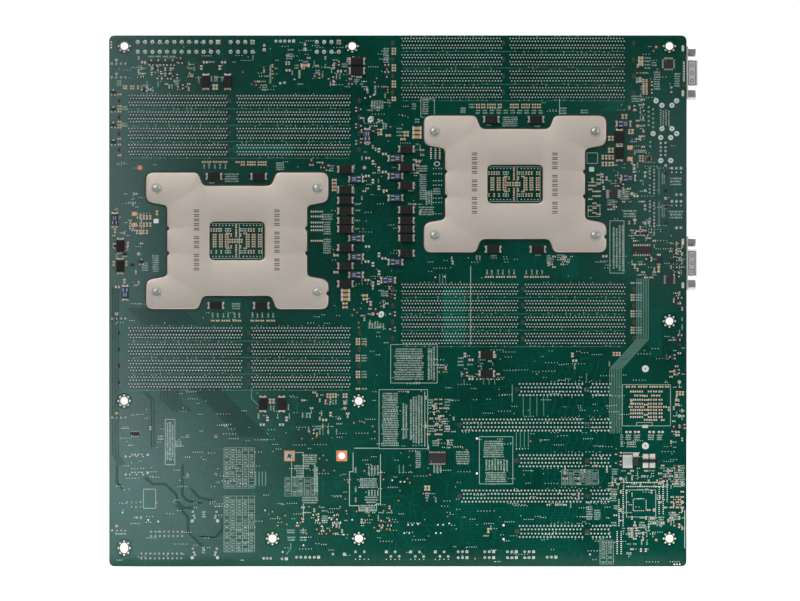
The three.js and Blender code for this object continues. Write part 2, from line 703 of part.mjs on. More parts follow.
function driveScrewGeometry() {
  const s = DRIVE_SCREW;
  const head = rod('y', s.headRadius, s.headLow, s.headHigh, [0, 0], 16);
  const shank = rod('y', s.shankRadius, s.headHigh - 0.5, s.shankTop, [0, 0], 8);
  const long = s.recessHalfLength;
  const narrow = s.recessHalfWidth;
  const recessEnd = s.headLow + s.recess;
  const slots = [
    block(-long, long, s.headLow - 1, recessEnd, -narrow, narrow),
    block(-narrow, narrow, s.headLow - 1, recessEnd, -long, long),
  ];
  return made([head, shank], slots);
}

place('drive_standoff_screw', driveScrewGeometry(), MATERIALS.screw, [DRIVE_SCREW.x, 0, DRIVE_SCREW.z]);

export default object;
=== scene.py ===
"""Looks for a two-socket server mainboard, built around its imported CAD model.

Places are in board millimetres: x along the board, z up it. A height is measured outwards from
the face that a piece stands on. Each mesh is turned into metres in the CAD model's frame.
"""

import json
import math
import random

import bmesh
import bpy
import numpy as np
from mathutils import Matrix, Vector, geometry

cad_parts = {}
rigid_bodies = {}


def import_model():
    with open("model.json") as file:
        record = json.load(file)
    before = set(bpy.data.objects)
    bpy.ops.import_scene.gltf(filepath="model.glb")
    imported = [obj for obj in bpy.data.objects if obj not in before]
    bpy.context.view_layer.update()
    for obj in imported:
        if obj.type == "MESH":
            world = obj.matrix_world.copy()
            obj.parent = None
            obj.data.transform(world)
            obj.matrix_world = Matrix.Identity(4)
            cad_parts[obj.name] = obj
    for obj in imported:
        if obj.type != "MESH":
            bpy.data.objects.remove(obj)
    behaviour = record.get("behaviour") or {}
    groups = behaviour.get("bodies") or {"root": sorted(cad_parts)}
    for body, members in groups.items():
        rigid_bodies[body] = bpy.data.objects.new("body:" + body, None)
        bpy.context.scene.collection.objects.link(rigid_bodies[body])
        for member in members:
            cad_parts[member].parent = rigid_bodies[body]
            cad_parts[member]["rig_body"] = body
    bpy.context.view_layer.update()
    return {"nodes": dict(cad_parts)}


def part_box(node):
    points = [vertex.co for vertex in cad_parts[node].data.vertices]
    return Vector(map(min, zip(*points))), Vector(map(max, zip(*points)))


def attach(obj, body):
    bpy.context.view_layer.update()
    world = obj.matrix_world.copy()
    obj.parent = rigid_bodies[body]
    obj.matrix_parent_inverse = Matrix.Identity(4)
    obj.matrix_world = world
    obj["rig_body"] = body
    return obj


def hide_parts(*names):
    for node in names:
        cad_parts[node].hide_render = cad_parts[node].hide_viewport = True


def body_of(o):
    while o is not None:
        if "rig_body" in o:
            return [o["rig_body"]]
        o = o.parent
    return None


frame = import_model()

MM = 0.001
THICKNESS = 1.6
SUNK = -0.01  # feet reach this far into the face they stand on
HALF_X, HALF_Z = 165.75, 152.4
draw = random.Random(7)

# ---------------------------------------------------------------- closed shells, in millimetres


def loft(rings):
    """A closed shell through rings of the same even number of points, anticlockwise from above."""
    count = len(rings[0])
    here = np.arange(count)
    after = (here + 1) % count
    wall = np.column_stack([here, after, after + count, here + count])
    half = np.arange(count // 2 - 1)
    cap = np.column_stack([half, half + 1, count - 2 - half, count - 1 - half])
    walls = [wall + level * count for level in range(len(rings) - 1)]
    quads = [*walls, cap[:, ::-1], cap + (len(rings) - 1) * count]
    return np.vstack(rings), np.vstack(quads)


def level(outline, height):
    """An outline lifted to a height."""
    return np.column_stack([outline, np.full(len(outline), height)])


def oval(half_x, half_z, sides):
    """An oval's outline, anticlockwise."""
    angles = (np.arange(sides) + 0.5) * 2 * math.pi / sides
    return np.column_stack([half_x * np.cos(angles), half_z * np.sin(angles)])


def turned(profile, sides=8, stretch=1.0):
    """A turned shell from (radius, height) pairs, lowest first; stretch lengthens it along z."""
    return loft([level(oval(r, r * stretch, sides), h) for r, h in profile])


def oblong(width, depth, cut=0.0):
    """A rectangle's outline, with its corners cut off if asked."""
    x, z, c = width / 2, depth / 2, cut
    if not cut:
        return np.array([(-x, -z), (x, -z), (x, z), (-x, z)])
    return np.array([(-x + c, -z), (x - c, -z), (x, -z + c), (x, z - c),
                     (x - c, z), (-x + c, z), (-x, z - c), (-x, -z + c)])


def brick(width, depth, low, high, soften=0.0, cut=0.0):
    """A block whose outer edges are softened, with its upright corners cut if asked."""
    rings = [level(oblong(width, depth, cut), low)]
    if soften:
        rings.append(level(oblong(width, depth, cut), high - soften))
    top = oblong(width - 2 * soften, depth - 2 * soften, max(cut - soften / 2, 0.0) if cut else 0.0)
    rings.append(level(top, high))
    return loft(rings)


def washer(inner, outer, low, high, sides=16, stretch=1.0):
    """A flat ring with a hole right through it."""
    corners = [(inner, low), (outer, low), (outer, high), (inner, high)]
    rings = [level(oval(r, r * stretch, sides), h) for r, h in corners]
    here = np.arange(sides)
    after = (here + 1) % sides
    quads = []
    for ring in range(4):
        other = (ring + 1) % 4
        quads.append(np.column_stack([here + ring * sides, after + ring * sides,
                                      after + other * sides, here + other * sides]))
    return np.vstack(rings), np.vstack(quads)


def strip(path, width, high, low=SUNK):
    """A flat band along a path of (x, z) points, mitred at its bends."""
    path = np.array(path, float)
    steps = np.diff(path, axis=0)
    steps /= np.linalg.norm(steps, axis=1)[:, None]
    sideways = np.column_stack([-steps[:, 1], steps[:, 0]])
    mitres = [sideways[0]]
    for one, two in zip(sideways[:-1], sideways[1:]):
        mitres.append((one + two) / (1 + one @ two))
    mitres.append(sideways[-1])
    reach = np.array(mitres) * width / 2
    rings = []
    for point, out in zip(path, reach):
        left, right = point + out, point - out
        rings.append([(*left, high), (*right, high), (*right, low), (*left, low)])
    return loft([np.array(ring) for ring in rings])


# ---------------------------------------------------------------- pieces

PIECES = []


class Piece:
    """Closed shells of one material that make one named mesh."""

    def __init__(self, name, material, slot, body="board", side="solder"):
        self.name, self.material, self.slot = name, material, slot
        self.body, self.side = body, side
        self.points, self.quads, self.total = [], [], 0
        PIECES.append(self)

    def add(self, shape, places=((0, 0),), turn=0.0):
        points, quads = shape
        angle = math.radians(turn)
        c, s = math.cos(angle), math.sin(angle)
        points = points @ np.array([[c, s, 0], [-s, c, 0], [0, 0, 1]])
        spots = np.array(places, float).reshape(-1, 2)
        offsets = np.column_stack([spots, np.zeros(len(spots))])
        cloud = (offsets[:, None] + points[None]).reshape(-1, 3)
        faces = (np.arange(len(spots))[:, None, None] * len(points) + quads[None]).reshape(-1, 4)
        self.points.append(cloud)
        self.quads.append(faces + self.total)
        self.total += len(cloud)

    def build(self):
        if not self.points:
            return
        x, z, height = np.vstack(self.points).T
        quads = np.vstack(self.quads)
        if self.side == "component":
            points, quads = np.column_stack([x, THICKNESS + height, z]), quads[:, ::-1]
        elif self.side == "rear":
            points = np.column_stack([height, x, z])
        else:
            points = np.column_stack([x, -height, z])
        finished(self.name, points, quads, [self.material], self.body)


def finished(name, points, faces, materials, body, sharp=38):
    """Makes a mesh object from millimetre points and lets it ride on a body."""
    mesh = bpy.data.meshes.new(name)
    mesh.from_pydata((np.asarray(points) * MM).tolist(), [], [tuple(map(int, f)) for f in faces])
    for material in materials:
        mesh.materials.append(material)
    mesh.shade_smooth()
    mesh.set_sharp_from_angle(angle=math.radians(sharp))
    piece = bpy.data.objects.new(name, mesh)
    bpy.context.scene.collection.objects.link(piece)
    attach(piece, body)
    return piece


# ---------------------------------------------------------------- materials


def surface(name, colour, roughness, metallic=0.0, vary=0.12, grain=900, bump=0.02, cloud=60,
            specular=0.5, streak=1.0, wear=0.0, uneven=0.08):
    """A material whose tint and gloss drift over broad patches, with a fine grain as its bump.

    Grain and cloud are counts per metre; streak stretches the grain along x for brushed metal.
    """
    material = bpy.data.materials.new(name)
    material.use_nodes = True
    nodes, links = material.node_tree.nodes, material.node_tree.links
    shader = nodes["Principled BSDF"]
    shader.inputs["Metallic"].default_value = metallic
    shader.inputs["Specular IOR Level"].default_value = specular
    where = nodes.new("ShaderNodeTexCoord")
    stretch = nodes.new("ShaderNodeMapping")
    stretch.inputs["Scale"].default_value = (1 / streak, 1, 1)
    links.new(where.outputs["Object"], stretch.inputs["Vector"])
    patches = nodes.new("ShaderNodeTexNoise")
    patches.inputs["Scale"].default_value = cloud
    patches.inputs["Detail"].default_value = 4
    fine = nodes.new("ShaderNodeTexNoise")
    fine.inputs["Scale"].default_value = grain
    fine.inputs["Detail"].default_value = 3
    links.new(where.outputs["Object"], patches.inputs["Vector"])
    links.new(stretch.outputs["Vector"], fine.inputs["Vector"])
    blend = nodes.new("ShaderNodeMath")
    blend.operation = "MULTIPLY_ADD"
    blend.inputs[1].default_value = 0.4
    links.new(fine.outputs["Fac"], blend.inputs[0])
    softened = nodes.new("ShaderNodeMath")
    softened.operation = "MULTIPLY"
    softened.inputs[1].default_value = 0.6
    links.new(patches.outputs["Fac"], softened.inputs[0])
    links.new(softened.outputs[0], blend.inputs[2])
    ramp = nodes.new("ShaderNodeValToRGB")
    ramp.color_ramp.elements[0].position = 0.32
    ramp.color_ramp.elements[1].position = 0.68
    ramp.color_ramp.elements[0].color = (*[c * (1 - vary) for c in colour], 1)
    ramp.color_ramp.elements[1].color = (*[min(c * (1 + vary), 1) for c in colour], 1)
    links.new(blend.outputs[0], ramp.inputs["Fac"])
    tint = ramp.outputs["Color"]
    if wear:
        tint = worn(nodes, links, tint, wear)
    links.new(tint, shader.inputs["Base Color"])
    gloss = nodes.new("ShaderNodeMapRange")
    gloss.inputs["To Min"].default_value = max(roughness - uneven, 0.02)
    gloss.inputs["To Max"].default_value = roughness + uneven
    links.new(blend.outputs[0], gloss.inputs["Value"])
    links.new(gloss.outputs["Result"], shader.inputs["Roughness"])
    relief = nodes.new("ShaderNodeBump")
    relief.inputs["Strength"].default_value = 0.5
    relief.inputs["Distance"].default_value = bump * MM
    links.new(fine.outputs["Fac"], relief.inputs["Height"])
    links.new(relief.outputs["Normal"], shader.inputs["Normal"])
    return material


def worn(nodes, links, tint, amount):
    """Lightens raised edges, where handling has rubbed the finish."""
    edge = nodes.new("ShaderNodeNewGeometry")
    raised = nodes.new("ShaderNodeMapRange")
    raised.inputs["From Min"].default_value = 0.52
    raised.inputs["From Max"].default_value = 0.6
    raised.inputs["To Max"].default_value = amount
    links.new(edge.outputs["Pointiness"], raised.inputs["Value"])
    mix = nodes.new("ShaderNodeMix")
    mix.data_type = "RGBA"
    mix.inputs["B"].default_value = (0.8, 0.8, 0.8, 1)
    links.new(raised.outputs["Result"], mix.inputs["Factor"])
    links.new(tint, mix.inputs["A"])
    return mix.outputs["Result"]


MASK = surface("solder_mask", (0.0, 0.052, 0.034), 0.12, vary=0.4, grain=500, cloud=24,
               specular=0.2, bump=0.004, uneven=0.02)
TRACK = surface("covered_copper", (0.0, 0.098, 0.068), 0.13, vary=0.15, specular=0.2, bump=0.004,
                uneven=0.02)
PALE_TRACK = surface("pale_covered_copper", (0.13, 0.26, 0.21), 0.3, vary=0.12, specular=0.2)
DARK_TRACK = surface("shaded_copper", (0.0, 0.02, 0.014), 0.17, vary=0.15, specular=0.12)
LAMINATE = surface("glass_laminate", (0.34, 0.33, 0.17), 0.6, vary=0.25, grain=3000, bump=0.03)
FILM = surface("insulating_film", (0.012, 0.02, 0.018), 0.45, vary=0.2)
TIN = surface("solder_tin", (0.74, 0.79, 0.75), 0.4, metallic=0.3, vary=0.16, grain=1500, bump=0.03)
PAD_TIN = surface("tinned_pad", (0.7, 0.65, 0.59), 0.42, vary=0.14, grain=1500, specular=0.8)
GOLD = surface("gold_plate", (0.62, 0.36, 0.13), 0.35, metallic=0.9, vary=0.15)
OLD_GOLD = surface("dull_gold_plate", (0.13, 0.07, 0.03), 0.5, metallic=0.4, vary=0.2)
COPPER = surface("bare_copper", (0.78, 0.28, 0.11), 0.5, vary=0.12, grain=2500, bump=0.02)
# Painted shade: the dark of holes, recesses, pressed dents and lead ends, laid on as colour.
HOLE_SHADE = surface("painted_hole_shade", (0.012, 0.01, 0.01), 0.7, vary=0.3)
TAN = surface("ceramic_tan", (0.52, 0.34, 0.16), 0.5, vary=0.12, grain=3000)
UMBER = surface("ceramic_umber", (0.2, 0.065, 0.045), 0.5, vary=0.2, grain=3000)
MOULDED = surface("moulded_epoxy", (0.011, 0.009, 0.009), 0.5, vary=0.3, grain=4000, bump=0.02,
                  specular=0.3)
NAVY = surface("inductor_body", (0.022, 0.026, 0.042), 0.42, vary=0.25, grain=4000)
SKY = surface("inductor_mark", (0.34, 0.43, 0.62), 0.55, vary=0.15, grain=3000)
LEGEND = surface("legend_ink", (0.42, 0.54, 0.48), 0.7, vary=0.12, grain=3000, specular=0.2)
PLATE = surface("plate_steel", (0.74, 0.645, 0.57), 0.48, metallic=0.75, vary=0.05, grain=1400,
                streak=5, bump=0.006, cloud=14)
ENGRAVED = surface("engraved_mark", (0.05, 0.045, 0.04), 0.7, vary=0.2)
STEEL = surface("frame_steel", (0.4, 0.4, 0.41), 0.5, metallic=1.0, vary=0.08, streak=6, bump=0.01)
SCREW = surface("screw_steel", (0.45, 0.44, 0.43), 0.3, metallic=1.0, vary=0.15, wear=0.3)
STUD = surface("stud_steel", (0.5, 0.48, 0.45), 0.38, metallic=0.9, vary=0.1, wear=0.1)
SOCKET = surface("socket_plastic", (0.035, 0.028, 0.024), 0.5, vary=0.25, grain=3500, wear=0.05)
SLOT_BLACK = surface("slot_plastic", (0.014, 0.014, 0.015), 0.42, vary=0.3, grain=4000, wear=0.05)
LATCH = surface("latch_plastic", (0.62, 0.62, 0.59), 0.5, vary=0.06, grain=3500)
SHELL = surface("connector_metal", (0.74, 0.73, 0.71), 0.3, metallic=0.6, vary=0.08, streak=3, bump=0.01)
POWER = surface("power_plastic", (0.02, 0.02, 0.021), 0.5, vary=0.3, grain=3500, wear=0.05)
ALUMINIUM = surface("heatsink_aluminium", (0.5, 0.52, 0.54), 0.4, metallic=1.0, vary=0.1, streak=8)
CHIP = surface("chip_epoxy", (0.018, 0.016, 0.016), 0.5, vary=0.25, grain=4000)

# ---------------------------------------------------------------- flat outlines with holes


def ellipse(x, z, half_x, half_z, sides):
    return oval(half_x, half_z, sides) + (x, z)


def rounded(corners, steps=5):
    """An anticlockwise outline from (x, z, radius) corners, each rounded by a short curve."""
    outline = []
    for i, (x, z, radius) in enumerate(corners):
        here = np.array((x, z))
        before = np.array(corners[i - 1][:2]) - here
        after = np.array(corners[(i + 1) % len(corners)][:2]) - here
        start = here + before * radius / np.linalg.norm(before)
        end = here + after * radius / np.linalg.norm(after)
        for t in np.linspace(0, 1, steps):
            outline.append((1 - t) ** 2 * start + 2 * t * (1 - t) * here + t ** 2 * end)
    return np.array(outline)


def rounded_oblong(half_x, half_z, radius):
    return rounded([(-half_x, -half_z, radius), (half_x, -half_z, radius),
                    (half_x, half_z, radius), (-half_x, half_z, radius)])


def drawn_in(loop, distance):
    """Moves an anticlockwise loop's points inwards by a distance."""
    ahead = np.roll(loop, -1, axis=0) - loop
    ahead /= np.linalg.norm(ahead, axis=1)[:, None]
    behind = np.roll(ahead, 1, axis=0)
    inward = np.column_stack([-ahead[:, 1], ahead[:, 0]]) + np.column_stack([-behind[:, 1], behind[:, 0]])
    inward /= np.linalg.norm(inward, axis=1)[:, None]
    return loop + inward * distance


def faces_between(loops):
    """Triangles that fill the first loop, except inside the others; points are in loop order."""
    flat = np.vstack(loops)
    edges, first = [], 0
    for loop in loops:
        size = len(loop)
        edges += [(first + i, first + (i + 1) % size) for i in range(size)]
        first += size
    result = geometry.delaunay_2d_cdt([Vector(p) for p in flat], edges, [], 1, 1e-5)
    kept = []
    for face in result[2]:
        middle = flat[list(face)].mean(axis=0)
        if not any(contains(loop, middle) for loop in loops[1:]):
            kept.append(tuple(face))
    return kept


def contains(loop, point):
    """True where a point is inside a loop, by counting the sides to its right."""
    x, z = point
    ahead = np.roll(loop, -1, axis=0)
    crossing = (loop[:, 1] > z) != (ahead[:, 1] > z)
    if not crossing.any():
        return False
    one, two = loop[crossing], ahead[crossing]
    reach = one[:, 0] + (z - one[:, 1]) * (two[:, 0] - one[:, 0]) / (two[:, 1] - one[:, 1])
    return bool((reach > x).sum() % 2)


def plate(loops, profile):
    """A flat plate with holes whose rims follow (inset, height) pairs, lowest first.

    Returns points, faces, and for each face the loop whose rim it is on, or -1 on the flats.
    """
    levels = []
    for inset, height in profile:
        rims = [drawn_in(loops[0], inset)] + [drawn_in(loop, -inset) for loop in loops[1:]]
        levels.append(level(np.vstack(rims), height))
    total = len(levels[0])
    flat = faces_between([drawn_in(loops[0], profile[-1][0])]
                         + [drawn_in(loop, -profile[-1][0]) for loop in loops[1:]])
    top = (len(levels) - 1) * total
    faces = [tuple(i + top for i in face) for face in flat]
    faces += [tuple(reversed(face)) for face in flat]
    owner = [-1] * len(faces)
    first = 0
    for number, loop in enumerate(loops):
        size = len(loop)
        for i in range(size):
            one, two = first + i, first + (i + 1) % size
            for rise in range(len(levels) - 1):
                quad = (one + rise * total, two + rise * total,
                        two + (rise + 1) * total, one + (rise + 1) * total)
                faces.append(quad if number == 0 else tuple(reversed(quad)))
                owner.append(number)
        first += size
    return np.vstack(levels), faces, owner


def on_solder_side(points):
    """Turns (x, z, height) points into the frame's axes."""
    x, z, height = points.T
    return np.column_stack([x, -height, z])


# ---------------------------------------------------------------- the bare board

MOUNTING_HOLES = [
    (-157.0, 146.3), (-26.2, 146.3), (155.9, 146.3), (-157.1, -57.4), (-22.5, -57.4), (155.9, -11.6),
    (-157.1, -141.8), (-72.0, -136.4), (-22.4, -136.4), (155.9, -136.4), ]
OVAL_HOLE = (-157.1, -141.8)
BANKS = {
    "a": {"first": 115.0, "holes": (-160.0, -96.75, -22.2), "runs": ((-154.4, -98.2), (-92.2, -27.6)),
          "lean": (0.2, 0.22)},
    "b": {"first": 147.9, "holes": (-2.96, 60.4, 135.4), "runs": ((2.4, 59.4), (64.5, 130.0)),
          "lean": (-0.08, 0.14)},
    "c": {"first": 6.75, "holes": (-2.96, 71.7, 135.4), "runs": ((2.4, 68.2), (73.3, 130.3)),
          "lean": (0.0, 0.0)},
    "d": {"first": -18.3, "holes": (-160.2, -85.6, -22.2), "runs": ((-154.3, -89.7), (-83.7, -27.3)),
          "lean": (-0.1, 0.12)},
}
SLOT_PITCH = 9.43
MEMORY_PIN_PITCH, CARD_PIN_PITCH = 1.7, 2.0
MOUNT_RADIUS, DRIVE_RADIUS, CARD_PEG_RADIUS = 2.15, 1.85, 1.2
NETWORK_PEG_RADIUS, SMALL_PEG_RADIUS, VIA_RADIUS = 1.62, 0.8, 0.55
CARD_SLOTS = {1: (-50.8, 68.4), 2: (-71.2, 35.4), 3: (-91.7, 68.4), 4: (-112.0, 35.4), 5: (-132.3, 68.4)}
CARD_KEY_PEG = 108.7
DRIVE_SCREW, DRIVE_HOLE = (-62.2, -88.9), (-32.2, -88.9)
NETWORK_PEGS = [(153.8, z) for z in (73.5, 63.7, 54.4, 44.6)]
SMALL_PEGS = [(-120.6, -77.7), (-104.6, -77.7), (-120.6, -99.7), (-104.6, -99.7)]
EDGE_PEGS = [(164.3, 139.9), (164.3, 123.9)]
THROUGH_VIAS = [(45.4, -78.9), (45.4, -99.0), (60.7, -128.8), (60.7, -136.8)]


def slot_rows(bank):
    """The z of each slot in a bank, from the top down."""
    return [bank["first"] - i * SLOT_PITCH for i in range(4)]


MEMORY_PEGS = [(x, z) for bank in BANKS.values() for z in slot_rows(bank) for x in bank["holes"]]
CARD_PEGS = [(x, z) for z, left in CARD_SLOTS.values() for x in (left, CARD_KEY_PEG)]

outline = rounded([(-HALF_X, -HALF_Z, 3.4), (HALF_X, -HALF_Z, 3.4),
                   (HALF_X, HALF_Z, 3.4), (-HALF_X, HALF_Z, 3.4)], 6)
plated = []
for x, z in MOUNTING_HOLES:
    plated.append(ellipse(x, z, MOUNT_RADIUS, 2.8 if (x, z) == OVAL_HOLE else MOUNT_RADIUS, 28))
plated.append(ellipse(*DRIVE_HOLE, DRIVE_RADIUS, DRIVE_RADIUS, 24))
bored = [ellipse(x, z, 0.75, 1.2, 14) for x, z in MEMORY_PEGS]
for places, radius, sides in (
        (CARD_PEGS, CARD_PEG_RADIUS, 16), (NETWORK_PEGS, NETWORK_PEG_RADIUS, 20),
        (SMALL_PEGS + EDGE_PEGS, SMALL_PEG_RADIUS, 14), (THROUGH_VIAS, VIA_RADIUS, 12)):
    bored += [ellipse(x, z, radius, radius, sides) for x, z in places]
loops = [outline, *plated, *bored]
board_points, board_faces, board_owner = plate(loops, [(0, -THICKNESS), (0, 0)])
board = finished("board", on_solder_side(board_points), board_faces, [MASK, LAMINATE, GOLD],
                 "board")
for polygon, owner in zip(board.data.polygons, board_owner):
    if owner == 0 or owner > len(plated):
        polygon.material_index = 1
    elif owner > 0:
        polygon.material_index = 2
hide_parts("pcb")

mounting_rims = Piece("mounting_hole_rims", GOLD, "connector_metal")
mounting_bumps = Piece("mounting_hole_bumps", TIN, "solder_tin")
halo = Piece("mounting_hole_clearance", DARK_TRACK, "solder_mask")
bump = turned([(0.55, SUNK), (0.55, 0.05), (0.42, 0.2), (0.2, 0.28)], 10)
for x, z in MOUNTING_HOLES:
    tall = 1.3 if (x, z) == OVAL_HOLE else 1.0
    mounting_rims.add(washer(2.15, 2.5, SUNK, 0.045, 28, tall), [(x, z)])
    halo.add(washer(4.0, 4.5, SUNK, 0.02, 32, 1 + (tall - 1) / 2), [(x, z)])
    for step in range(8):
        angle = step * math.pi / 4
        if z > 140 and 0 < angle < math.pi:
            continue
        reach = 3.3 * (1 + (tall - 1) * 0.7)
        mounting_bumps.add(bump, [(x + 3.3 * math.cos(angle), z + reach * math.sin(angle))])

peg_rims = Piece("peg_hole_rims", OLD_GOLD, "connector_metal")
pegs = Piece("slot_pegs", SLOT_BLACK, "slot_plastic")
peg_rims.add(washer(0.82, 0.96, SUNK, 0.03, 16, 1.5), MEMORY_PEGS)
peg_rims.add(washer(1.24, 1.38, SUNK, 0.03, 16), CARD_PEGS)
peg_rims.add(washer(0.8, 1.05, SUNK, 0.03, 16), SMALL_PEGS + EDGE_PEGS)
peg_rims.add(washer(0.55, 0.85, SUNK, 0.03, 14), THROUGH_VIAS)
pegs.add(turned([(0.83, -1.4), (0.83, -0.2), (0.6, -0.05)], 12, 1.5), MEMORY_PEGS)
pegs.add(turned([(1.25, -1.4), (1.25, -0.2), (0.9, -0.05)], 14), CARD_PEGS)
pegs.add(turned([(1.45, -1.4), (1.45, -0.2), (1.1, 0.05), (0.5, 0.12)], 18), NETWORK_PEGS)
pegs.add(turned([(0.68, -1.4), (0.68, -0.8), (0.4, -0.6)], 10), SMALL_PEGS + EDGE_PEGS)

# ---------------------------------------------------------------- processor back plates

SOCKETS = {"a": (-92.2, 34.5), "b": (67.25, 67.1)}
PLATE_X, PLATE_Z, WAIST_X, WAIST_Z = 52.4, 39.2, 40.2, 31.6
NICK_RADIUS = 1.5
STUD_X, STUD_Z = 46.1, 29.8


def nicked_side(x, z_low, z_high, places, outward):
    """Points up or down a straight side, with a round nick bitten in at each place."""
    points = []
    for z in places:
        for t in np.linspace(-1, 1, 7):
            rise = t if z_high > z_low else -t
            points.append((x - outward * NICK_RADIUS * 0.8 * (1 - t * t), z + NICK_RADIUS * rise))
    return points


def back_plate_outline():
    quarter = [(WAIST_X, 20.3, 2.4), (PLATE_X, 22.5, 4), (PLATE_X, PLATE_Z, 4.5),
               (22.5, PLATE_Z, 2.4), (19.6, WAIST_Z, 2.4)]
    back = quarter[::-1]
    corners = (quarter + [(-x, z, r) for x, z, r in back]
               + [(-x, -z, r) for x, z, r in quarter] + [(x, -z, r) for x, z, r in back])
    loop = list(rounded(corners))
    # The waist sides run between the last point and the first, and half way round.
    right = nicked_side(WAIST_X, -1, 1, (-7.1, 7.1), 1)
    left = nicked_side(-WAIST_X, 1, -1, (7.1, -7.1), -1)
    half = len(loop) // 2
    loop = loop[:half] + left + loop[half:] + right
    corner = next(i for i, p in enumerate(loop) if p[0] > PLATE_X - 0.01 and p[1] < -24)
    lobe = nicked_side(PLATE_X, -1, 1, (-30.2,), 1)
    spot = next(i for i in range(corner, len(loop)) if loop[i][1] > -30.2)
    return np.array(loop[:spot] + lobe + loop[spot:])


def hexagonal(radius, height):
    angles = np.arange(12) * math.pi / 6
    reach = np.where(np.arange(12) % 2 == 0, radius, radius * math.cos(math.pi / 6))
    return level(np.column_stack([reach * np.cos(angles), reach * np.sin(angles)]), height)


PLATE_TOP = 2.5
PLATE_RIM = [(0, 0.27), (0, 1.75), (0.12, 2.15), (0.38, 2.4), (0.75, PLATE_TOP)]
stud_draw = random.Random(11)
for name, (cx, cz) in SOCKETS.items():
    window = rounded_oblong(15.8, 11.1, 3)
    points, faces, _ = plate([back_plate_outline() + (cx, cz), window + (cx, cz)], PLATE_RIM)
    piece = finished(f"back_plate_{name}_formed", on_solder_side(points), faces, [PLATE],
                     "board", sharp=60)
    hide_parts(f"back_plate_{name}")
    studs = Piece(f"back_plate_{name}_studs", STUD, "screw_steel")
    stud = loft([hexagonal(2.75, 2.45), hexagonal(2.75, 2.85), hexagonal(2.45, 3.15),
                 level(oval(1.5, 1.5, 12), 3.33), level(oval(0.6, 0.6, 12), 3.38)])
    seat = washer(2.8, 3.15, 2.45, 2.53, 24)
    bar = brick(3.1, 0.5, PLATE_TOP - 0.01, PLATE_TOP + 0.015)
    engraved = Piece(f"back_plate_{name}_marks", ENGRAVED, "plate_steel")
    for side_x in (-STUD_X, STUD_X):
        for side_z in (-STUD_Z, STUD_Z):
            studs.add(stud, [(cx + side_x, cz + side_z)], turn=stud_draw.uniform(0, 60))
            studs.add(seat, [(cx + side_x, cz + side_z)])
    for mark_x, groups in ((-23.3, (5, 3, 4)), (22.8, (4, 5, 3))):
        z = cz + 17.2
        for group in groups:
            for _ in range(group):
                engraved.add(bar, [(cx + mark_x, z + 0.5), (cx + mark_x, z - 0.5)])
                z -= 2.62
            z -= 2.3
    film_loop = drawn_in(back_plate_outline(), -0.75) + (cx, cz)
    points, faces, _ = plate([film_loop, rounded_oblong(15.3, 10.6, 2.6) + (cx, cz)], [(0, 0.0), (0, 0.24)])
    finished(f"insulating_film_{name}", on_solder_side(points), faces, [FILM], "board")

# ---------------------------------------------------------------- soldered tails of the slots


def pin_joint(foot, tip, height, lean=(0, 0)):
    """A cone of solder with the lead standing out of it."""
    rings = []
    for share, radius in ((-0.02, foot), (0.06, foot), (0.4, (foot + tip) / 2), (0.55, tip),
                          (1, tip * 0.8)):
        ring = oval(radius, radius, 8) + np.array(lean) * max(share, 0)
        rings.append(level(ring, share * height))
    return loft(rings)


def spots_along(start, end, pitch):
    return np.arange(start, end + pitch * 0.3, pitch)


PIN_ROWS = ((2.75, 0.0), (1.13, 0.85), (-1.13, 0.0), (-2.75, 0.85))
# Dark discs under the memory tails: partly the mask's clearance round each hole, partly a painted shadow of
# each joint, shifted to the lower right.
tail_clearance_shadows = Piece("tail_clearances_and_painted_shadows", DARK_TRACK, "solder_mask")
clearance_and_shadow_disc = turned([(0.74, SUNK), (0.74, 0.01)], 8)
for name, bank in BANKS.items():
    tails = Piece(f"memory_bank_{name}_tails", TIN, "solder_tin")
    joint = pin_joint(0.47, 0.33, 0.95, bank["lean"])
    for slot_z in slot_rows(bank):
        for rise, offset in PIN_ROWS:
            for start, end in bank["runs"]:
                xs = spots_along(start + offset, end, MEMORY_PIN_PITCH)
                tails.add(joint, [(x, slot_z + rise) for x in xs])
                tail_clearance_shadows.add(clearance_and_shadow_disc, [(x + 0.12, slot_z + rise - 0.12) for x in xs])

card_tails = Piece("card_slot_tails", TIN, "solder_tin")
joint = pin_joint(0.58, 0.38, 1.1)
for z, left in CARD_SLOTS.values():
    for rise, offset in ((3.2, 1.5), (1.2, 2.5), (-1.2, 2.5), (-3.2, 1.5)):
        xs = [x for x in spots_along(left + offset, 122.3, CARD_PIN_PITCH) if abs(x - CARD_KEY_PEG) > 2.1]
        card_tails.add(joint, [(x, z + rise) for x in xs])

# ---------------------------------------------------------------- small parts on the solder side

PAD_HEIGHT = 0.06
tan_bodies = Piece("ceramic_capacitor_bodies", TAN, "component_ceramic")
umber_bodies = Piece("resistor_bodies", UMBER, "component_ceramic")
end_caps = Piece("chip_part_ends", PAD_TIN, "solder_tin")
black_bodies = Piece("moulded_capacitor_bodies", MOULDED, "chip_epoxy")
black_tabs = Piece("moulded_capacitor_tabs", PAD_TIN, "solder_tin")
black_lips = Piece("moulded_capacitor_lips", TAN, "component_ceramic")
navy_bodies = Piece("inductor_bodies", NAVY, "component_ceramic")
sky_marks = Piece("inductor_marks", SKY, "legend_ink")
chips = Piece("chip_bodies", CHIP, "chip_epoxy")
leads = Piece("chip_leads", PAD_TIN, "solder_tin")
pads = Piece("bare_pads", PAD_TIN, "solder_tin")
test_points = Piece("test_points", COPPER, "connector_metal")
round_joints = Piece("round_joints", TIN, "solder_tin")
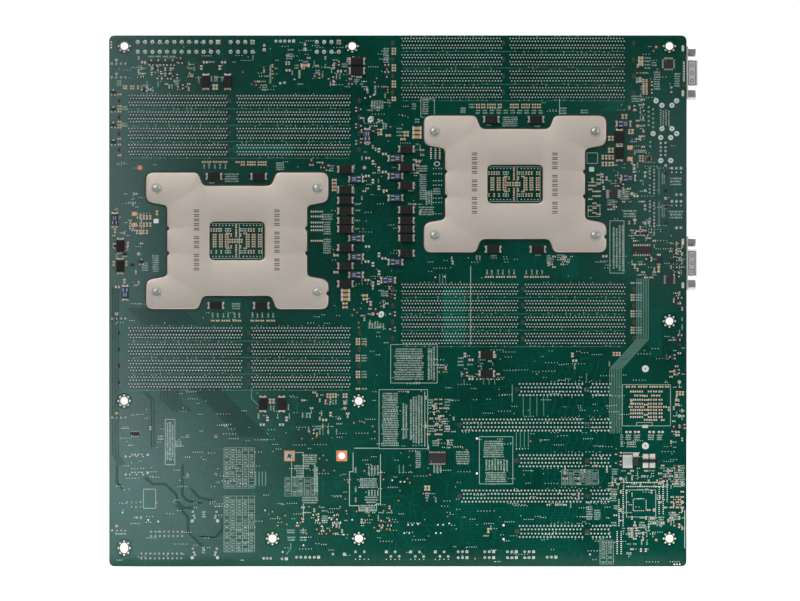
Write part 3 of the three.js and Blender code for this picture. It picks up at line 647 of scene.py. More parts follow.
# The dark of the lead tips is painted shade.
lead_tip_shade = Piece("lead_tips_painted_shade", HOLE_SHADE, "screw_steel")
marks = Piece("legend_marks", LEGEND, "legend_ink")
tracks = Piece("covered_tracks", TRACK, "solder_mask")
pale_tracks = Piece("pale_tracks", PALE_TRACK, "solder_mask")
dark_tracks = Piece("dark_tracks", DARK_TRACK, "solder_mask")


def around(piece, shape, places, turn, across, rise, extra=0):
    """Stamps a shape at an offset that turns with the part."""
    angle = math.radians(turn)
    c, s = math.cos(angle), math.sin(angle)
    offset = (across * c - rise * s, across * s + rise * c)
    piece.add(shape, np.array(places, float).reshape(-1, 2) + offset, turn + extra)


def chip_part(bodies, places, length, width, turn, height, ends):
    """Small two-ended parts: a ceramic body between two tinned ends on their pads."""
    end = length * ends
    bodies.add(brick(length - 2 * end + 0.1, width * 0.94, SUNK, height, 0.08), places, turn)
    for side in (-1, 1):
        reach = side * (length - end) / 2
        around(end_caps, brick(end + 0.05, width, SUNK, height + 0.03, 0.09), places, turn, reach, 0)
        around(pads, brick(end * 1.5, width * 1.2, SUNK, PAD_HEIGHT), places, turn, reach, 0)


def capacitors(places, length=2.1, width=1.1, turn=0):
    chip_part(tan_bodies, places, length, width, turn, min(width * 0.6, 1.0), 0.17)


def resistors(places, turn=0, length=2.5, width=1.3):
    chip_part(umber_bodies, places, length, width, turn, 0.45, 0.32)


def moulded(places, turn=0):
    """Moulded block capacitors, whose flat tabs fold down at each end."""
    black_bodies.add(brick(7.0, 4.4, 0.15, 2.9, 0.28), places, turn)
    tinned_block_ends(places, turn, 8.7, 3.1)


def inductors(places, turn=0):
    navy_bodies.add(brick(6.7, 3.8, 0.15, 2.6, 0.3), places, turn)
    tinned_block_ends(places, turn, 8.3, 2.9)
    for reach, length, width, gap in ((1.6, 1.9, 0.62, 1.05), (-1.1, 2.1, 0.5, 0.62)):
        for side in (-1, 1):
            around(sky_marks, brick(length, width, 2.59, 2.615), places, turn, reach, side * gap)


def tinned_block_ends(places, turn, length, width):
    tab, lip = brick(0.75, width, SUNK, 1.5, 0.2), brick(0.35, width * 0.7, 1.3, 2.1, 0.1)
    foot = brick(1.5, 1.0, SUNK, 0.12, 0.05)
    for side in (-1, 1):
        around(black_tabs, tab, places, turn, side * (length / 2 - 0.35), 0)
        around(black_lips, lip, places, turn, side * (length / 2 - 0.85), 0)
        for edge in (-1, 1):
            around(pads, foot, places, turn, side * (length / 2 - 0.3), edge * (width / 2 - 0.1))


def transistors(places, turn=0):
    """Three-legged parts: two legs below the body and one above it."""
    chips.add(brick(2.9, 1.4, 0.1, 1.05, 0.14), places, turn)
    for across, rise in ((-0.95, -1.35), (0.95, -1.35), (0.0, 1.35)):
        around(leads, brick(0.75, 0.95, SUNK, 0.3, 0.08), places, turn, across, rise)


def leaded_chip(x, z, width, depth, per_side, pitch, turn=0, all_round=False, height=1.3, reach=1.2):
    """A moulded chip with a row of legs along two sides or all four; width is across the legs."""
    chips.add(brick(width, depth, 0.1, height, 0.16), [(x, z)], turn)
    dimple = (-width * 0.32, depth * 0.32)
    around(leads, turned([(0.22, height - 0.02), (0.22, height + 0.01)], 8), [(x, z)], turn, *dimple)
    for i in range(per_side):
        slide = (i - (per_side - 1) / 2) * pitch
        for side in (-1, 1):
            leg = brick(reach, pitch * 0.55, SUNK, 0.32, 0.1)
            around(leads, leg, [(x, z)], turn, side * (width + reach * 0.7) / 2, slide)
            if all_round:
                around(leads, leg, [(x, z)], turn, slide, side * (depth + reach * 0.7) / 2, 90)


def joints(places, radius=0.85, tip=0.3, height=1.0, square=False):
    """Through-hole joints: a skirt of solder with the lead's end in it, darkened with painted shade."""
    profile = [(radius, SUNK), (radius, 0.08), (radius * 0.7, height * 0.35), (tip * 1.3, height * 0.75),
               (tip, height)]
    round_joints.add(turned(profile, 12), places)
    if square:
        pads.add(brick(radius * 2.05, radius * 2.05, SUNK, 0.07), places)
    lead_tip_shade.add(turned([(tip * 0.75, height * 0.7), (tip * 0.75, height + 0.02)], 6), places)


def dots(places, radius=0.32):
    test_points.add(turned([(radius, SUNK), (radius, 0.035)], 10), places)


def silver_dots(places, radius=0.36):
    round_joints.add(turned([(radius, SUNK), (radius, 0.06), (radius * 0.6, 0.16)], 8), places)


# ---------------------------------------------------------------- printed legend

INK = 0.03


def label(x, z, length=3.2, tall=0.95, turn=0, piece=marks):
    """A row of small generic ticks, where the board carries a part's number."""
    reach = -length / 2 + 0.2
    while reach < length / 2 - 0.1:
        tick = draw.choice((0.62, 0.8, 1.0)) * tall
        width = draw.choice((0.24, 0.24, 0.34))
        around(piece, brick(width, tick, SUNK, INK), [(x, z)], turn, reach, 0)
        reach += width + draw.choice((0.17, 0.2, 0.34))


def labels(places, length, turn=0):
    for x, z in places:
        label(x, z, length, turn=turn)


def label_block(x_low, x_high, z_low, z_high, pitch=1.3, upright=False):
    """A patch of printed rows, or of columns if upright."""
    span = x_high - x_low if upright else z_high - z_low
    count = max(1, round(span / pitch))
    for i in range(count):
        step = (i + 0.5) * span / count
        length = (z_high - z_low if upright else x_high - x_low) * draw.uniform(0.82, 1.0)
        if upright:
            label(x_low + step, (z_low + z_high) / 2, length, pitch * 0.72, 90)
        else:
            label((x_low + x_high) / 2, z_low + step, length, pitch * 0.72)


def legend_line(points, width=0.3):
    marks.add(strip(points, width, INK))


def legend_box(x_low, x_high, z_low, z_high):
    for path in (((x_low, z_low), (x_high, z_low)), ((x_low, z_high), (x_high, z_high)),
                 ((x_low, z_low), (x_low, z_high)), ((x_high, z_low), (x_high, z_high))):
        legend_line(path)


def track(points, width=0.3, piece=tracks):
    piece.add(strip(points, width, 0.015))


def bundle(points, count, step, width=0.35, piece=tracks):
    """Parallel tracks; step is the (x, z) shift from one to the next."""
    for i in range(count):
        shift = np.array(step) * i
        track([np.array(p) + shift for p in points], width, piece)


def via_field(x, z, columns, rows, pitch):
    places = [(x + i * pitch, z - j * pitch) for i in range(columns) for j in range(rows)]
    tracks.add(turned([(0.3, SUNK), (0.3, 0.025)], 8), places)


def column(x, zs):
    """Places at one x."""
    return [(x, z) for z in zs]


def row(xs, z):
    """Places at one z."""
    return [(x, z) for x in xs]


# ---------------------------------------------------------------- solder side: power and headers

for row_z in (148.6, 143.0):
    joints(row([-149.3 + 4.2 * i for i in range(11)], row_z), 1.2, 0.45, 1.5)
    joints(row([-96.0 + 4.2 * i for i in range(4)], row_z), 1.2, 0.45, 1.5)
    joints(row([-46.5 + 4.2 * i for i in range(4)], row_z), 1.2, 0.45, 1.5)
joints([(-103.2, 148.6), (-83.4, 148.6), (-33.9, 148.6)], 1.2, 0.45, 1.5, square=True)
joints([(-103.2, 143.0)], 1.2, 0.45, 1.5)
joints(row((-70.0, -67.4, -64.9, -62.3), 149.1), 0.85)
joints([(-59.9, 149.1), (-76.7, 144.2), (-53.3, 144.5)], 0.85, square=True)
joints([(-76.7, 146.7), (-53.3, 147.1)], 0.8)
joints(row((-164.2, -161.6, -158.9, -156.4), 136.2) + row((-164.2, -161.6, -158.9, -156.4), 128.3), 0.7)

for z in (-143.9, -147.3):
    for first in (34.6, 49.9, 62.9, 72.8):
        joints(row((first, first + 2.54), z), 0.78)
        joints([(first + 5.08, z)], 0.78, square=True)
joints(row((85.7, 88.2), -147.0) + row([-58.2 + 2.55 * i for i in range(5)], -147.1), 0.8)
joints([(90.7, -147.0), (-45.5, -147.1), (-30.7, -145.4), (-64.0, -148.0)], 0.8, square=True)
joints([(-37.3, -145.3), (-66.5, -148.0), (-77.0, -147.7), (-75.0, -147.7), (-73.0, -147.7)], 0.75)
for first in (7.4, 21.5, -24.3, -6.6):
    joints([(first, -144.0)], 0.75, square=first > -20)
    later = [(first + 5.0, -144.0), (first + 2.6, -146.6), (first + 7.4, -146.6)]
    joints(later[:2 if first < -20 else 3], 0.75)
    silver_dots(row([first + 2.5 * i for i in range(4)], -148.3), 0.32)
joints(row([-141.7 + 2.55 * i for i in range(8)], -132.4) + row([-141.7 + 2.55 * i for i in range(8)],
                                                                -134.9), 0.6)
joints(row([-147.2 + 2.55 * i for i in range(10)], -145.0) + row([-147.2 + 2.55 * i for i in range(10)],
                                                                 -147.7), 0.6)
joints(row([-155.5 + 2.6 * i for i in range(4)], -115.5) + row([-152.9 + 2.6 * i for i in range(3)],
                                                               -118.1), 0.5)
joints([(-150.0, -124.3), (-147.5, -124.3)], 0.75)
for x in (-118.0, -103.6):
    for z in (-121.0, -142.1):
        side = 1 if x < -110 else -1
        joints([(x + 0.4 * side, z), (x + 1.0 * side, z - 2.2)], 0.7)
        joints([(x + 1.4 * side, z - 3.6)], 0.65)
        joints([(x - 0.1 * side, z - 5.2)], 0.95)
for z in (-89.2, -99.6):
    joints([(-156.2, z), (-143.6, z + 0.9)], 0.75)
    silver_dots(row((-153.8, -150.0, -146.2), z - 0.1) + row((-152.6, -151.0, -148.8, -147.0), z + 1.2),
                0.38)
for z in (-10.1, -66.9, -131.7):
    joints(row((-164.0, -161.4, -158.8, -156.4), z), 0.62)
    capacitors([(-161.4, z + 2.5)], 1.2, 1.3)

# ---------------------------------------------------------------- solder side: rear connectors

RING_PINS = [(148.2, 114.9), (160.0, 114.9), (151.6, 112.3), (157.3, 112.3), (151.6, 98.9), (157.3, 98.9),
             (146.5, 96.1), (160.0, 96.1), (150.9, 93.8), (156.6, 93.8), (150.9, 80.6), (156.6, 80.6)]
round_joints.add(washer(0.75, 1.5, SUNK, 0.3, 20), RING_PINS)
joints(RING_PINS, 0.85, 0.55, 0.8)
joints(column(146.5, (110.0, 107.4, 104.8, 102.2, 99.7)), 0.62)
joints(column(144.0, (111.2, 108.6, 106.0, 103.4, 101.0)), 0.62)
joints(column(141.2, (112.8, 109.2, 100.7, 97.4)), 0.55)
for i in range(7):
    joints([(150.8 + 0.1 * (i % 2), 109.4 - 1.35 * i), (152.4, 108.7 - 1.35 * i)], 0.5)
    joints([(154.0, 109.4 - 1.35 * i), (155.6, 108.7 - 1.35 * i)], 0.5)
joints(column(150.9, (90.6, 88.2, 86.1, 83.7)) + column(153.6, (90.8, 88.2, 86.1, 83.7)), 0.72)
joints(column(144.9, (91.2, 88.7)), 0.6)
for top in (76.2, 57.2):
    joints(row((157.3, 159.9, 162.5), top) + row((159.9, 162.5), top - 15.2) + [(153.7, top + 1.6)], 0.8)
    joints(column(141.9, (top - 2.5, top - 4.6, top - 12.9)), 0.78)
    joints(column(144.6, [top - d for d in (0.0, 1.6, 3.5, 5.6, 9.8, 11.9, 14.0)]), 0.6)
    joints(column(147.1, [top - d for d in (0.9, 2.5, 4.5, 6.7, 8.8, 10.7, 12.6, 14.4)]), 0.6)
    legend_line(((149.9, top), (149.9, top - 15)), 0.25)
    label_block(155.6, 163.6, top - 10.2, top - 5.0, 1.6)
    label_block(151.2, 153.4, top - 9.4, top - 2.4, 0.9, True)
    silver_dots(row((157.3, 159.9, 162.5), top - 2.4), 0.4)
for z in (145.0, 119.2, 34.0, 9.0):
    pads.add(brick(1.5, 3.4, SUNK, 0.12, 0.05, 0.4), [(163.6, z)])
    joints([(163.6, z + 0.6)], 0.5)
pads.add(brick(1.1, 0.5, SUNK, 0.1), column(164.2, [126.3 + 0.9 * i for i in range(13)]))
silver_dots([(x, z) for x in (158.2, 160.2, 162.6) for z in np.arange(15.5, 28.6, 1.9)], 0.3)
joints([(157.0, 122.5), (157.0, 119.9)], 0.7)

# ---------------------------------------------------------------- solder side: block parts

moulded(column(-30.1, (75.6, 63.8, 57.8, 51.7, 46.2, 41.3, 30.6, 20.1, 9.9)))
moulded(column(4.9, (87.2, 76.8, 66.2, 52.3, 46.2, 41.3, 36.2, 27.4)))
moulded([(-23.5, 137.6), (-23.5, 132.2), (53.6, 104.2), (79.3, 104.2), (-105.5, 71.5), (-79.9, 71.5),
         (54.7, 29.7), (80.3, 29.7), (-104.5, -2.6), (-78.4, -2.6), (51.0, -30.8), (51.0, -41.7)])
moulded([(-110.2, 125.8), (-97.7, 125.8), (-77.5, -59.1), (-66.7, -59.1), (-159.3, 31.5), (-159.3, 20.0),
         (127.2, 94.1), (127.2, 84.8)], 90)
inductors(column(-24.0, (69.9, 35.9, 25.3, 15.0)))
inductors(column(-1.4, (81.8, 71.7, 59.2, 22.3)) + [(-5.6, 11.9), (132.2, 70.6)], 180)
inductors([(129.5, 101.6)], 180)
inductors([(-17.5, 94.8), (-162.5, 46.5)], -90)
inductors([(-156.5, 4.7)], 90)

leaded_chip(155.3, 136.1, 5.3, 5.3, 8, 0.65, all_round=True)
leaded_chip(123.7, 61.4, 4.7, 5.2, 8, 0.62, reach=2.0)
leaded_chip(140.0, 29.2, 4.6, 10.3, 8, 1.27, turn=90)
leaded_chip(143.9, 81.7, 2.8, 2.8, 4, 0.6, all_round=True, height=0.9, reach=0.5)
leaded_chip(155.9, 12.3, 4.4, 5.0, 8, 0.62, reach=1.2)
leaded_chip(22.6, -90.2, 5.9, 10.2, 10, 0.95, turn=90, reach=0.9)
leaded_chip(14.0, 85.2, 1.8, 2.8, 3, 0.9, turn=90, height=0.9)
leaded_chip(-151.0, -76.3, 2.2, 5.0, 4, 1.2, turn=90, height=0.9, reach=0.6)
chips.add(brick(3.0, 4.4, 0.1, 2.0, 0.25), [(149.8, 23.7)])
pads.add(brick(2.2, 1.0, SUNK, 0.15, 0.05), [(149.8, 26.5), (149.8, 21.0)])
chips.add(turned([(1.2, 0.1), (1.2, 0.9), (0.9, 1.1)], 14, 0.7), [(137.7, 38.8), (140.4, 38.8),
                                                                  (22.4, 78.7)])
round_joints.add(washer(1.25, 1.75, SUNK, 0.12, 18, 0.8), [(137.7, 38.8), (140.4, 38.8), (22.4, 78.7)])
silver = Piece("shielded_crystals", SHELL, "connector_metal")
silver.add(brick(5.0, 6.2, 0.0, 1.6, 0.3, 0.5), [(131.9, -92.1)])
silver.add(brick(3.0, 2.6, 0.0, 1.0, 0.2, 0.3), [(111.2, 75.6), (-138.7, 45.9)])
pads.add(brick(5.6, 7.6, SUNK, 0.08), [(131.9, -92.1)])
chips.add(brick(3.0, 5.0, 0.1, 1.5, 0.2), [(136.6, -92.0)])
chips.add(brick(2.9, 2.0, 0.1, 1.6, 0.15), [(142.2, -91.7), (146.1, -91.7)])
pads.add(brick(3.2, 3.0, SUNK, 0.5, 0.1), [(142.2, -89.3), (146.1, -89.3), (142.2, -94.3), (146.1, -94.3),
                                          (136.6, -88.6)])
TRANSISTOR_ROW = (-141.5, -137.5, -133.5, -129.3)
transistors(row(TRANSISTOR_ROW, 136.8))
transistors([(-6.3, 134.2), (-6.3, 130.0), (161.9, 0.4), (161.9, -21.0)], 180)
transistors([(-22.6, 110.0), (-22.6, 100.5), (-22.6, 91.0)], -90)
transistors([(-3.1, 2.5), (-3.1, -7.4), (-3.1, -16.2), (144.4, 124.8), (144.4, 120.4), (126.5, -88.0),
             (126.5, -93.0), (157.5, -32.0)], 90)
transistors(column(-163.3, (119.8, 110.0, 101.0, 91.0)), 0)
chips.add(brick(2.4, 1.6, 0.1, 0.9, 0.15), [(161.5, -3.4), (161.5, -25.2), (157.4, 23.6), (153.0, -32.5),
                                          (-152.6, 20.7), (150.0, -92.0)])

# ---------------------------------------------------------------- solder side: chip capacitors

capacitors(column(-159.8, (118.5, 111.8, 110.2, 108.7, 102.8, 101.0, 99.5, 93.0, 89.8, 83.6)), 1.9, 0.9)
capacitors([(-105.7, 122.8), (-104.0, 122.8)], 2.8, 1.2, 90)
capacitors(row((-157.3, -155.9, -153.2, -151.7, -149.2), 122.6), 2.0, 0.9, 90)
capacitors(column(-2.3, (144.8, 143.3, 141.8, 135.3, 133.8, 132.3, 126.0, 124.5, 123.0, 116.7, 115.2)),
           2.2, 0.95)
capacitors([
    (-53.2, 135.2), (11.0, 99.1), (11.0, 96.6), (11.0, 94.1), (-30.0, 6.0), (-30.0, 3.5),
    (-30.0, 1.0)], 4.9, 1.8)
capacitors([
    (-22.3, 128.6), (4.8, 96.8), (4.8, 95.0), (3.0, 92.8), (-5.5, 95.0), (-30.3, -1.4), (-30.3, -3.6),
    (-35.5, 26.2), (-35.5, 16.5), (11.6, 80.0), (-18.7, 3.2), (-18.7, 1.1)], 2.7, 1.2)
capacitors(column(-36.5, (69.4, 67.5, 65.6, 63.7)), 2.5, 1.2)
capacitors([(-9.7, 97.0), (149.7, 18.2)], 3.4, 1.3, 90)
for x in (46.0, 49.0, 52.3, 55.0, 58.5, 65.5, 68.2, 72.0, 74.7, 78.2, 81.0):
    capacitors([(x, 112.7), (x, 111.1)], 2.1, 0.85)
for x in (-92.0, -89.0, -85.4, -82.8, -79.3, -76.5):
    capacitors([(x, 79.7), (x, 78.2)][:1 if x < -91 else 2], 2.1, 0.85)
capacitors(row((-111.3, -108.3, -105.0, -102.0, -99.0), 79.8), 2.1, 0.85)
BELOW_RIGHT_PLATE = (51.2, 53.9, 57.5, 60.3, 63.8, 66.7, 73.7, 76.9, 79.8, 82.9, 85.8)
BELOW_LEFT_PLATE = (-106.3, -103.4, -100.1, -97.4, -93.7, -91.0, -83.4, -80.6, -77.8, -74.4, -71.6)
capacitors(row(BELOW_RIGHT_PLATE, 13.8), 2.1, 0.85)
capacitors(row(BELOW_LEFT_PLATE, -11.3), 1.9, 0.85)
capacitors(column(139.4, (139.5, 137.6, 135.7)), 2.6, 1.5)
capacitors([(x, z) for x in (141.0, 142.8) for z in (126.4, 124.4, 122.8, 121.0, 119.2)], 1.4, 1.1, 90)
capacitors([(x, z) for x in (-147.7, -145.8, -144.0, -142.1) for z in (48.0, 43.8)], 2.2, 1.1, 90)
capacitors(row((-149.7, -148.0, -146.0, -144.0), 39.6), 2.2, 1.1, 90)
capacitors([(x, z) for x in (117.6, 119.6, 121.5, 123.4) for z in (82.5, 78.6)], 2.3, 1.15, 90)
capacitors([
    (121.3, 86.5), (123.3, 86.5), (121.3, 93.3), (123.3, 93.3), (132.8, 97.3), (134.7, 97.3),
    (129.0, 105.8), (131.0, 105.8), (-138.3, 50.6), (111.7, 69.3), (-155.0, 32.5), (-163.0, 21.5),
    (-156.0, 21.5), (-73.3, -57.5), (-71.3, -57.5), (15.9, -107.4), (17.8, -107.4), (-15.6, -1.4),
    (-162.3, 40.3), (-162.9, 31.7)], 2.5, 1.25, 90)
BELOW_LEFT_BANK = (-40.4, -38.8, -37.2, -35.6, -31.1, -29.5)
capacitors(row(BELOW_LEFT_BANK, -54.3), 2.2, 1.0, 90)
MIDDLE_STACK = (-21.8, -23.3, -24.8, -31.3, -32.8, -34.3, -40.6, -42.2, -43.7, -50.4)
capacitors(column(-22.9, MIDDLE_STACK), 2.2, 0.95)
for z in (10.3, 3.5, 2.0, 0.5, -5.8, -7.3, -8.8, -15.3, -16.8, -18.3):
    capacitors([(134.7, z)], 1.9, 0.85)
    label(138.3, z, 3.8, 0.8)
capacitors(row((123.9, 125.6, 127.3), -30.4), 2.0, 1.1, 90)
capacitors([(21.9 + 2.8 * i, z) for i in range(2) for z in (-56.5, -59.0, -61.6, -71.5, -74.0, -76.6)],
           1.5, 0.7)
capacitors([(139.0, 83.2), (139.0, 81.8), (139.0, 80.4), (140.7, 83.2), (140.7, 81.8), (140.7, 80.4)],
           1.1, 0.8)
capacitors([(159.5, -40.0), (159.5, -42.0), (160.3, -57.0), (160.3, -59.4), (160.5, -75.2),
            (160.5, -77.0)], 2.2, 1.2)
capacitors(row((160.2, 161.9, 163.6), -53.0), 2.2, 1.1, 90)
capacitors([(51.9, -131.8)], 2.6, 1.0, 90)
resistors([
    (-14.3, 79.5), (-10.9, 86.5), (-10.9, 75.8), (-14.3, 68.7), (-10.9, 65.0), (-14.3, 21.0),
    (-14.3, 9.8), (-11.2, 10.5), (-10.8, 26.5), (-10.8, 16.2), (-74.8, -67.7), (-63.9, -67.7),
    (-38.6, -65.0), (38.5, -31.0), (38.5, -42.0), (-36.8, 134.5), (-36.7, 125.0), (100.2, -31.0),
    (-112.8, 134.0), (-102.2, 134.0), (135.6, 77.2), (135.6, 74.8), (-157.0, 11.4)], 90, 2.2, 1.2)
resistors([
    (-17.3, 82.0), (-7.7, 84.3), (-7.8, 74.0), (-17.5, 71.7), (-7.3, 63.3), (-17.7, 22.6), (-8.0, 24.4),
    (-17.8, 12.0), (-17.4, 31.2), (-63.0, 132.4), (-33.5, 131.9), (-77.8, -71.0), (-66.8, -71.0),
    (-42.0, -68.3), (42.0, -33.8), (42.0, -44.7), (-110.5, 137.0), (-100.0, 137.0), (101.5, -34.3),
    (136.7, 60.2), (-146.0, 137.0), (-161.0, 8.0), (118.8, 25.7)], 0, 2.4, 1.1)

# Bare squares of copper with a blob of solder in the middle: two near each side of the board.
for x, z in ((-151.2, 50.0), (-151.2, 43.7), (133.2, 88.0), (133.2, 81.5)):
    test_points.add(brick(3.1, 2.5, SUNK, 0.05), [(x, z)])
    pads.add(brick(1.7, 1.5, 0.04, 0.25, 0.1, 0.4), [(x, z)])
for land_x, land_z in (DRIVE_SCREW, DRIVE_HOLE):
    edge, hole = 3.05, 1.9
    corner = rounded_oblong(edge, edge, 0.05) + (land_x, land_z)
    points, faces, _ = plate([corner, ellipse(land_x, land_z, hole, hole, 24)], [(0, SUNK), (0, 0.06)])
    finished(f"drive_land_{'left' if land_x < -50 else 'right'}", on_solder_side(points), faces,
             [COPPER], "board")
test_points.add(brick(2.7, 2.7, SUNK, 0.05, 0, 0.5), [(-148.0, 76.5)])
test_points.add(turned([(0.75, SUNK), (0.75, 0.04)], 14), [(148.3, 145.8), (148.3, -137.2)])
round_joints.add(washer(0.9, 2.0, SUNK, 0.25, 22), [(142.1, -38.9), (142.1, -83.2)])
joints([(142.1, -38.9), (142.1, -83.2)], 1.2, 0.6, 0.5)
round_joints.add(washer(0.8, 1.6, SUNK, 0.3, 20, 1.25), [(-15.6, 104.2), (-9.6, -7.7)], -30)
joints([(-15.6, 104.2), (-9.6, -7.7)], 1.0, 0.6, 0.4)

# Small parts in the waist of the right plate, between it and the edge of the board.
for x, zs in ((110.2, (66.2, 64.0, 58.4, 52.0)), (112.6, (66.2, 62.9, 60.2, 56.1, 53.3, 50.6)),
              (115.0, (72.4, 69.8, 67.2, 62.9, 60.2, 55.0, 49.8))):
    capacitors(column(x, zs), 1.6, 0.8)
    silver_dots(column(x + 1.3, zs), 0.28)
resistors([(117.4, 72.0), (117.6, 68.6), (119.8, 70.3), (118.2, 64.9)], 90, 1.9, 1.0)
legend_box(109.2, 116.0, 48.4, 54.4)
legend_line(((109.2, 68.0), (116.4, 68.0), (116.4, 74.0)), 0.25)

# ---------------------------------------------------------------- under the processors

for cx, cz in SOCKETS.values():
    for side in (-1, 1):
        for reach in (6.0, 9.4, 13.0):
            capacitors([(cx + side * reach, cz + 3.5 - 1.35 * i) for i in range(6)], 1.9, 0.85)
    for rise in (6.3, -6.3):
        outer = [-15.0, -13.4, -11.9, -10.5, -9.2] if rise > 0 else [-15.0, -12.0, -9.2]
        capacitors([(cx + u, cz + rise) for u in outer], 1.8, 0.8, 90)
        capacitors([(cx + u, cz + rise) for u in (6.5, 8.0, 9.6, 12.6, 14.0)], 1.8, 0.8, 90)
        silver_dots([(cx + u + a, cz + rise + b) for u in (-6.2, -4.4, 2.2, 4.4) for a in (-0.5, 0.5)
                     for b in (-0.6, 0.6)], 0.34)
        capacitors([(cx + u, cz + math.copysign(4.3, rise)) for u in (-5.4, 4.6)], 1.7, 0.8)
        silver_dots([(cx - 14 + 1.9 * i, cz + math.copysign(8.9, rise)) for i in range(7)], 0.33)
        silver_dots([(cx + 3.6 + 1.9 * i, cz + math.copysign(8.9, rise)) for i in range(6)], 0.33)
    capacitors([(cx + u, cz + w) for u in (-3.4, -0.6, 1.9) for w in (0.7, -0.7)], 2.0, 0.85)
    capacitors([(cx - 0.6, cz + w) for w in (8.4, 5.6, 3.2, -3.2, -5.6, -8.4)], 1.9, 0.9, 90)
    capacitors([(cx + u, cz + w) for u in (-3.5, 1.9) for w in (3.4, -3.4)], 1.7, 0.8, 90)
    legend_line(((cx + 1.2, cz + 9.6), (cx + 1.2, cz - 9.8)), 0.35)
    legend_line(((cx - 14.6, cz + 9.9), (cx + 14.6, cz + 9.9)), 0.25)
    legend_line(((cx + 14.4, cz + 9.6), (cx + 14.4, cz - 9.8)), 0.25)
    legend_line(((cx - 14.6, cz - 10.0), (cx + 14.6, cz - 10.0)), 0.25)

# ---------------------------------------------------------------- legend on the solder side

# Patches of printed rows: x low, x high, z low, z high.
ROWS = [
    (-128.5, -125.2, 123.7, 127.2), (-148, -142.8, 121, 124.3), (-161.5, -158.3, 123.5, 127),
    (-159, -155, 109.4, 112), (-159, -155, 99.8, 102.4), (-64, -60, 138.5, 142.3),
    (-59.5, -56.5, 133, 136), (-47.5, -44.5, 129.3, 132.8), (-78.5, -75.5, 125.2, 126.8),
    (-78, -75, 120.5, 124.5), (-8.5, -4.8, 136.5, 145.4), (-6.4, -3.6, 113, 116), (60, 68.8, 100, 106),
    (14, 18, 107, 116), (8, 10.5, 109.7, 113.7), (9.7, 12.7, 102, 105), (35.8, 39.2, 107.8, 111.2),
    (93, 96.8, 107, 111.3), (104.5, 109.5, 107.5, 110), (145.5, 148.5, 134.5, 137.5),
    (146.8, 150.8, 121, 132), (158.5, 162.3, 122.7, 131), (136.3, 139.9, 125, 128.7),
    (134, 140.3, 114, 118.2), (140.2, 144, 130, 131.8), (-99.8, -91, 68, 73.5), (-70, -65.2, 75, 79.7),
    (-40, -36.3, 74, 78.3), (-43, -38.2, 38, 45.8), (-43, -38.2, 27, 36), (-44.5, -36.8, 46.3, 50.2),
    (10.2, 17.5, 74, 78), (12.3, 16.8, 58, 73), (11.8, 21, 49, 54.4), (20, 25, 61, 65),
    (136.8, 142.8, 85, 87), (127.7, 133.3, 58, 64.8), (120, 125, 52, 58.5), (129, 137.3, 47.8, 52.3),
    (-141, -137, 16.5, 26.5), (-147, -143, 17, 22.5), (-95.5, -90, -5, -1), (-10, -5, 2.5, 6),
    (85.3, 88, 21.5, 26.5), (91, 96, 23, 27), (-138, -134, -80, -77), (-128, -124, -84, -80),
    (-48, -44, -74, -71.3), (-55, -46, -94, -88), (22.5, 26.5, -39, -36), (17.2, 20.8, -60.5, -56),
    (17, 21, -75.5, -71), (26.3, 30.2, -75.5, -71.3), (19.7, 23.8, -83.5, -79.7),
    (27.8, 32, -83.2, -79.3), (10, 13.5, -96, -86), (33.3, 41.3, -94, -86), (127.7, 129.4, -84, -76.3),
    (130.6, 134.2, -80, -76.5), (135.4, 139, -80, -76.5), (143.3, 147.3, -80, -76.5),
    (148.5, 152, -80, -76.5), (131.2, 137.3, -84.2, -80.4), (-112.5, -110.5, -124.5, -120.5),
    (-112.5, -110.5, -145, -141), (-55.3, -45.7, -116.5, -112.3), (-60, -50.5, -96.8, -94),
    (-58.5, -54, -101, -96.8), (-22.3, -11, -107.5, -101.5), (-19, -11.3, -116.3, -112),
    (-22.3, -12.5, -120.3, -117), (-43.8, -40, -127.7, -123), (-63.7, -59, -133.5, -131),
    (-56.3, -52.5, -133.5, -131), (-63.5, -58.5, -138, -135), (-56.3, -52.5, -138, -135),
    (15.8, 18, -113.8, -109.8), (122, 125.8, -115.3, -107.5), (122.7, 126.5, -100, -96),
    (123.6, 126.3, -119.7, -117), (108, 111.9, -125.8, -117.5), (112.5, 116.5, -125.8, -119.6),
    (122.3, 126, -129.6, -126.5), (152, 157, -103, -98.5), (158, 165, -107, -94),
    (144.2, 148.2, -128.7, -124.5), (149.3, 153.2, -128.7, -123.6), (155.6, 161.7, -126, -122),
    (138.3, 142.2, -130.5, -126.5), (131.7, 135.6, -134.7, -130), (-2.6, 15.5, -45.5, -27),
    (-9.3, 0.6, -83.5, -52.5), (49, 61, -90, -80), (49.5, 63, -104.2, -98)]


def table(x_low, x_high, z_low, z_high, rows, columns):
    """A printed grid with a few ticks in each cell."""
    width, depth = (x_high - x_low) / columns, (z_high - z_low) / rows
    for i in range(columns + 1):
        legend_line(((x_low + i * width, z_low), (x_low + i * width, z_high)), 0.16)
    for j in range(rows + 1):
        legend_line(((x_low, z_low + j * depth), (x_high, z_low + j * depth)), 0.13)
    for i in range(columns):
        for j in range(rows):
            if draw.random() < 0.75:
                label(x_low + (i + 0.5) * width, z_low + (j + 0.5) * depth, width * 0.6, depth * 0.4)


